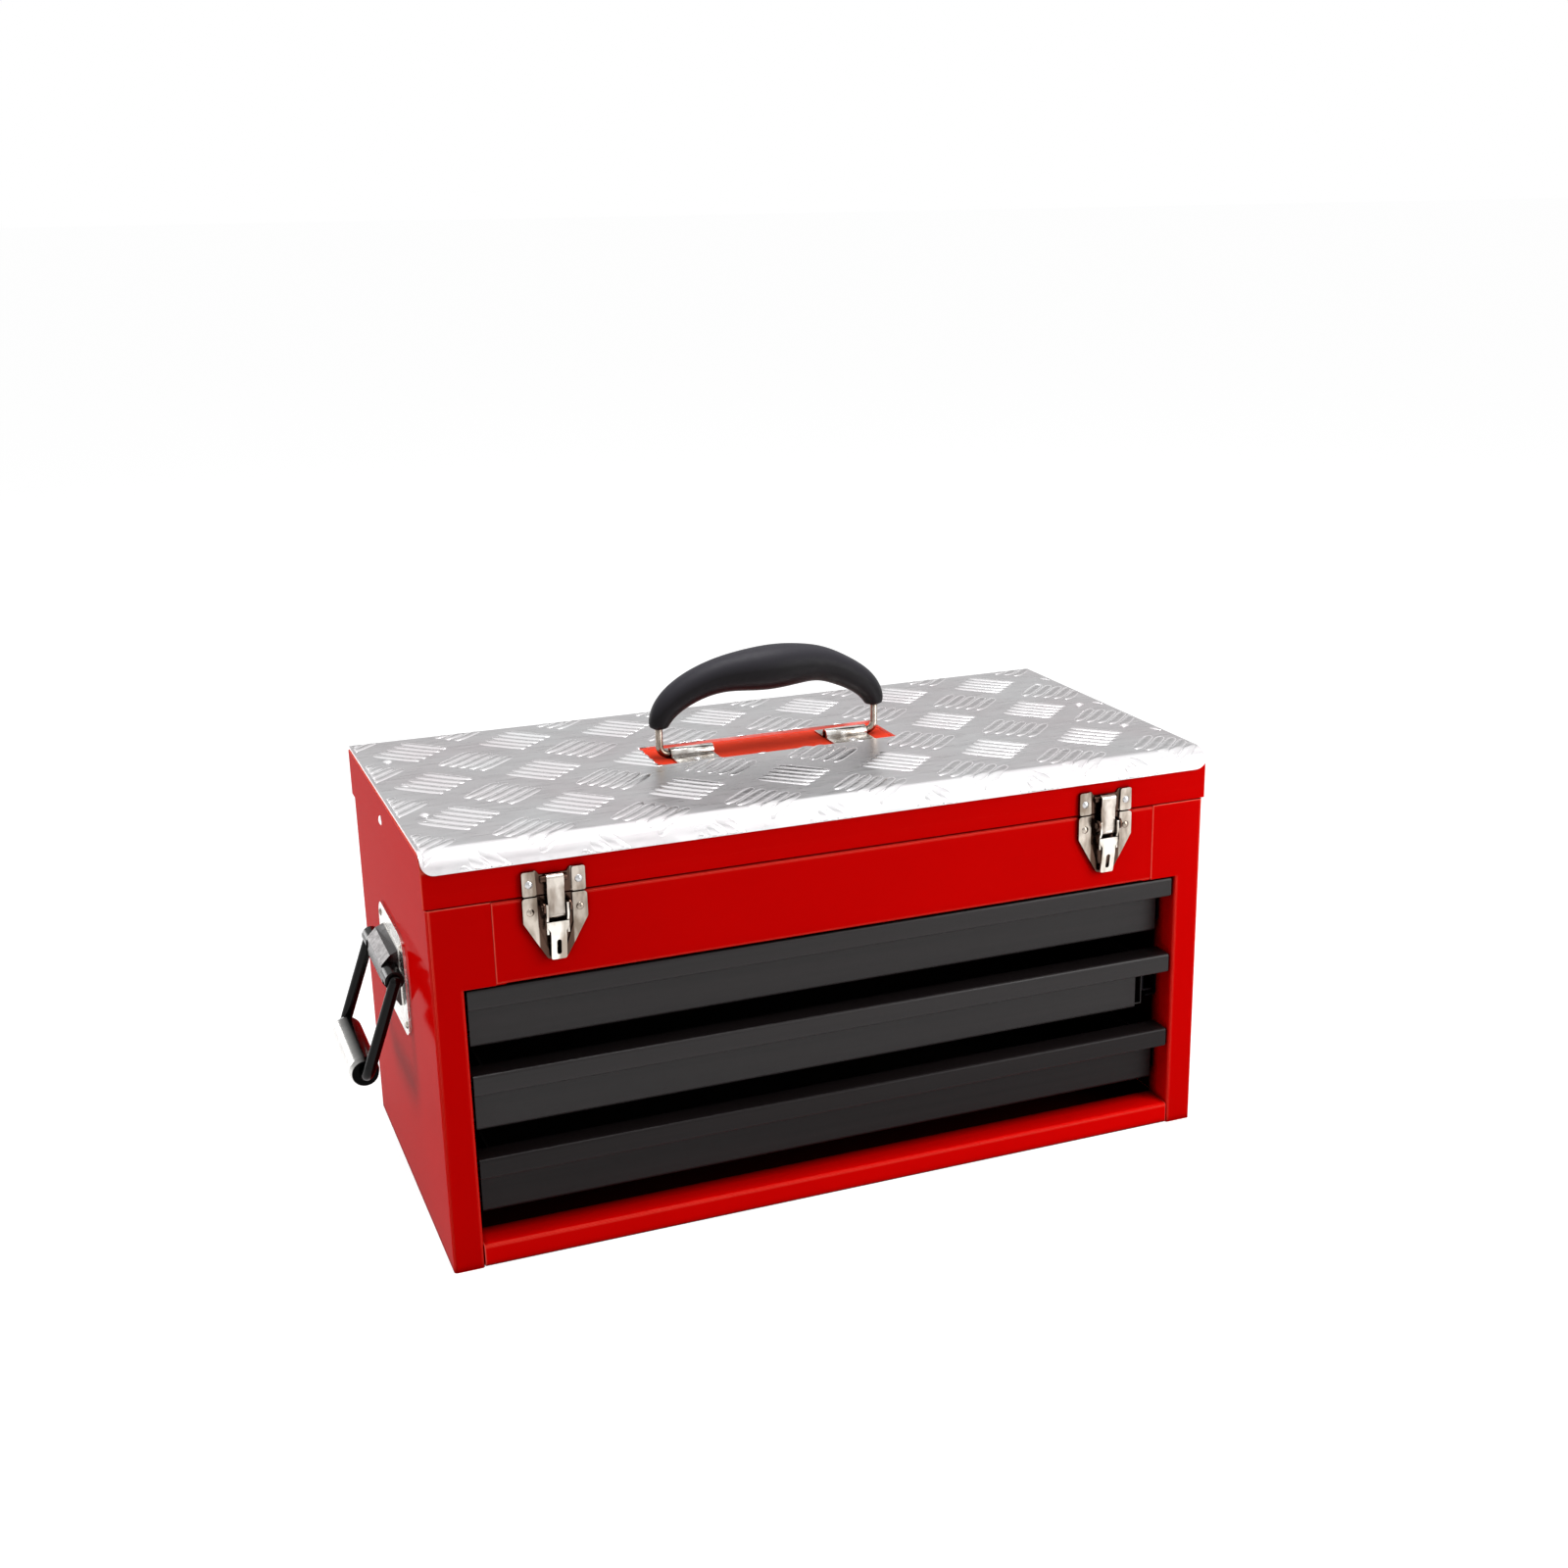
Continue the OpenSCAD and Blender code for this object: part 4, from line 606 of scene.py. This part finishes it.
def tread_bars():
    bm = bmesh.new()
    reach = BAR_LEN * 0.75
    lower = NOSE_Y - NOSE_ARC
    for i in range(-GRID_REACH, GRID_REACH + 1):
        for j in range(-GRID_REACH, GRID_REACH + 1):
            if (i + j) % 2:
                continue
            centre = Vector((TREAD_X + i * GROUP_X / 2, TREAD_Y + j * GROUP_Y / 2))
            if abs(centre.x) > plate_high.x + reach or not lower - reach < centre.y < plate_high.y + reach:
                continue
            angle = math.radians(45 if i % 2 else -45)
            step = Vector((-math.sin(angle), math.cos(angle))) * BAR_PITCH
            for k in range(BARS):
                add_bar(bm, centre + step * (k - (BARS - 1) / 2), angle)
    cut(bm, (plate_high.x - PLAIN_MARGIN, 0, 0), (1, 0, 0))
    cut(bm, (plate_low.x + PLAIN_MARGIN, 0, 0), (-1, 0, 0))
    cut(bm, (0, plate_high.y - PLAIN_MARGIN, 0), (0, 1, 0))
    cut(bm, (0, lower, 0), (0, -1, 0))
    for x in CUTOUT_X:
        cut(bm, (x, 0, 0), (1, 0, 0), keep_both=True)
    for y in CUTOUT_Y:
        cut(bm, (0, y, 0), (0, 1, 0), keep_both=True)
    inside = []
    for f in bm.faces:
        c = f.calc_center_median()
        if CUTOUT_X[0] < c.x < CUTOUT_X[1] and CUTOUT_Y[0] < c.y < CUTOUT_Y[1]:
            inside.append(f)
    bmesh.ops.delete(bm, geom=inside, context="FACES")
    bmesh.ops.holes_fill(bm, edges=[e for e in bm.edges if e.is_boundary], sides=0)
    # nothing of a bar may stand over the nose's rounded lower corners
    gone = [v for v in bm.verts if v.co.y < NOSE_Y - run_to(lowest_at(v.co.x)) + CORNER_MARGIN]
    bmesh.ops.delete(bm, geom=gone, context="VERTS")
    for v in bm.verts:
        v.co = bent(v.co.x, v.co.y, v.co.z)
    bmesh.ops.recalc_face_normals(bm, faces=bm.faces)
    return add_bmesh("tread_bars", bm, BAR_FINISH)


# ---------------------------------------------------------------- carrying grip

PIVOT_Z = 270.8 * MM
LEG_X = 77.5 * MM
GRIP_BASE = 18 * MM
GRIP_RISE = 36 * MM
GRIP_R = 15 * MM
GRIP_END_R = 5.4 * MM
GRIP_SHOULDER_R = 11.5 * MM
GRIP_STEPS = 96
GRIP_SIDES = 48
GRIP_CLOSE = 0.018  # share of the length over which an end closes in over the wire


def bulge(t, middle, width):
    return math.exp(-(((t - middle) / width) ** 2))


def grip_radius(t):
    """Slim at the ends, quickly fuller, with a palm swell in the middle."""
    shoulder = (GRIP_SHOULDER_R - GRIP_END_R) * math.sin(math.pi * t) ** 0.6
    return GRIP_END_R + shoulder + (GRIP_R - GRIP_SHOULDER_R) * bulge(t, 0.51, 0.125)


def arch(a):
    """Middle line of the grip, from its left lower end (a = pi) to the right one (a = 0).

    Its two small bulges follow the outline in the photograph.
    """
    t = 1 - a / math.pi
    swell = 1.3 * MM * bulge(t, 0.66, 0.07) - 2.2 * MM * bulge(t, 0.48, 0.1)
    height = PIVOT_Z + GRIP_BASE + GRIP_RISE * math.sin(a) + swell
    return Vector((HANDLE_X + LEG_X * math.cos(a), HANDLE_Y, height))


def carrying_grip():
    steps, around = GRIP_STEPS, GRIP_SIDES
    side = Vector((0, 1, 0))
    verts = []
    for i in range(steps + 1):
        a = math.pi * (1 - i / steps)
        ahead, behind = arch(max(a - 0.01, 0)), arch(min(a + 0.01, math.pi))
        along = (ahead - behind).normalized()
        out = along.cross(side) * -1
        end = min(i, steps - i) / steps
        r = grip_radius(i / steps)
        # the ends close in over the wire
        close = min(1.0, end / GRIP_CLOSE)
        r *= 0.62 + 0.38 * math.sqrt(1 - (1 - close) ** 2)
        for k in range(around):
            t = 2 * math.pi * k / around
            verts.append(arch(a) + side * r * math.cos(t) + out * r * math.sin(t))
    faces = []
    for i in range(steps):
        for k in range(around):
            n = (k + 1) % around
            faces.append((i * around + k, i * around + n, (i + 1) * around + n, (i + 1) * around + k))
    faces.append([k for k in range(around)][::-1])
    faces.append([steps * around + k for k in range(around)])
    grip = add_mesh("carrying_grip", verts, faces, FINISH["soft_grip"])
    bm = bmesh.new()
    bm.from_mesh(grip.data)
    bmesh.ops.recalc_face_normals(bm, faces=bm.faces)
    bm.to_mesh(grip.data)
    bm.free()
    return grip


# ---------------------------------------------------------------- floor and light

FLOOR_HALF = 80
FLOOR_GREY = 0.45
FLOOR_GLOW = 0.84
ROOM_SEEN = 1.25
ROOM_DIFFUSE = 0.46
# Brightness of the walls by the sine of the height above the horizon
SIDE_WALLS = ((0.13, 0.8), (0.2, 0.58), (0.44, 0.58), (0.56, 0.76))
BACK_WALL = ((0.13, 0.8), (0.18, 0.27), (0.42, 0.27), (0.54, 0.76))
BACK_HEADING = (0.358, 0.934, 0)
BACK_EDGE = (0.89, 0.965)  # cosine of the angle from that heading where the back wall starts and is full


def seen_directly(tree):
    """1 for camera, mirror and glass rays, 0 for the light that the surface sheds."""
    rays = tree.nodes.new("ShaderNodeLightPath")
    value = rays.outputs["Is Camera Ray"]
    for name in ("Is Glossy Ray", "Is Transmission Ray"):
        either = tree.nodes.new("ShaderNodeMath")
        either.operation = "MAXIMUM"
        tree.links.new(value, either.inputs[0])
        tree.links.new(rays.outputs[name], either.inputs[1])
        value = either.outputs[0]
    return value


def make_floor():
    material = bpy.data.materials.new("pale_floor")
    material.use_nodes = True
    tree = material.node_tree
    tree.nodes.clear()
    new, link = tree.nodes.new, tree.links.new
    out = new("ShaderNodeOutputMaterial")
    diffuse = new("ShaderNodeBsdfDiffuse")
    diffuse.inputs["Color"].default_value = (FLOOR_GREY, FLOOR_GREY, FLOOR_GREY, 1)
    glow = new("ShaderNodeEmission")
    share = new("ShaderNodeMath")
    share.operation = "MULTIPLY"
    share.inputs[1].default_value = FLOOR_GLOW
    link(seen_directly(tree), share.inputs[0])
    link(share.outputs[0], glow.inputs["Strength"])
    add = new("ShaderNodeAddShader")
    link(diffuse.outputs[0], add.inputs[0])
    link(glow.outputs[0], add.inputs[1])
    link(add.outputs[0], out.inputs["Surface"])
    h = FLOOR_HALF
    floor = add_mesh("floor", [(-h, -h, 0), (h, -h, 0), (h, h, 0), (-h, h, 0)], [(0, 1, 2, 3)], material)


def make_world():
    """A pale horizon, a darker wall above it (darkest behind the object) and a bright ceiling."""
    world = bpy.data.worlds.new("studio")
    bpy.context.scene.world = world
    world.use_nodes = True
    tree = world.node_tree
    new, link = tree.nodes.new, tree.links.new
    place = new("ShaderNodeTexCoord")
    parts = new("ShaderNodeSeparateXYZ")
    link(place.outputs["Generated"], parts.inputs[0])

    def wall(stops):
        ramp = new("ShaderNodeValToRGB")
        link(parts.outputs["Z"], ramp.inputs["Fac"])
        ramp.color_ramp.elements[0].position = stops[0][0]
        ramp.color_ramp.elements[1].position = stops[1][0]
        for position, _ in stops[2:]:
            ramp.color_ramp.elements.new(position)
        for element, (_, level) in zip(ramp.color_ramp.elements, stops):
            element.color = (level, level, level, 1)
        return ramp.outputs["Color"]

    # the back wall is about as wide as the tread plate mirrors it to the photograph's camera
    level_part = new("ShaderNodeVectorMath")
    level_part.operation = "MULTIPLY"
    level_part.inputs[1].default_value = (1, 1, 0)
    link(place.outputs["Generated"], level_part.inputs[0])
    heading = new("ShaderNodeVectorMath")
    heading.operation = "NORMALIZE"
    link(level_part.outputs[0], heading.inputs[0])
    facing = new("ShaderNodeVectorMath")
    facing.operation = "DOT_PRODUCT"
    facing.inputs[1].default_value = BACK_HEADING
    link(heading.outputs[0], facing.inputs[0])
    dark = new("ShaderNodeMapRange")
    dark.inputs["From Min"].default_value = BACK_EDGE[0]
    dark.inputs["From Max"].default_value = BACK_EDGE[1]
    link(facing.outputs["Value"], dark.inputs["Value"])
    walls = new("ShaderNodeMix")
    walls.data_type = "RGBA"
    link(dark.outputs["Result"], walls.inputs[0])
    link(wall(SIDE_WALLS), walls.inputs[6])
    link(wall(BACK_WALL), walls.inputs[7])
    background = tree.nodes["Background"]
    link(walls.outputs[2], background.inputs["Color"])
    strength = new("ShaderNodeMapRange")
    strength.inputs["To Min"].default_value = ROOM_DIFFUSE
    strength.inputs["To Max"].default_value = ROOM_SEEN
    link(seen_directly(tree), strength.inputs["Value"])
    link(strength.outputs["Result"], background.inputs["Strength"])


def area_light(name, place, target, size, watts):
    data = bpy.data.lights.new(name, "AREA")
    data.shape = "RECTANGLE"
    data.size, data.size_y = size
    data.energy = watts
    lamp = bpy.data.objects.new(name, data)
    lamp.visible_camera = False
    lamp.location = place
    lamp.rotation_euler = (Vector(target) - Vector(place)).to_track_quat("-Z", "Y").to_euler()
    bpy.context.collection.objects.link(lamp)
    return lamp


# ---------------------------------------------------------------- the scene

make_camera()
make_floor()
make_world()
area_light("overhead", (0.1, -0.1, 1.9), (0, 0, 0.1), (1.0, 0.7), 20)
area_light("front_right", (0.72, -0.82, 0.55), (0.18, -0.1, 0.12), (0.5, 0.7), 6.0)
# the tread plate would mirror this lamp in the view from the right
area_light("left", (-1.5, 0.0, 0.8), (-0.26, 0, 0.15), (0.8, 0.8), 8).visible_glossy = False
area_light("rear_left", (-1.1, 1.85, 0.22), (-0.29, 0, 0.12), (0.5, 0.6), 3.5)
finish_nodes()

sheet = plate_sheet()
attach(sheet, "lid")
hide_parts("tread_plate")
bars = tread_bars()
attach(bars, "lid")
grip = carrying_grip()
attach(grip, "top_handle")
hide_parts("handle_grip")

bpy.context.scene.view_settings.view_transform = "Standard"
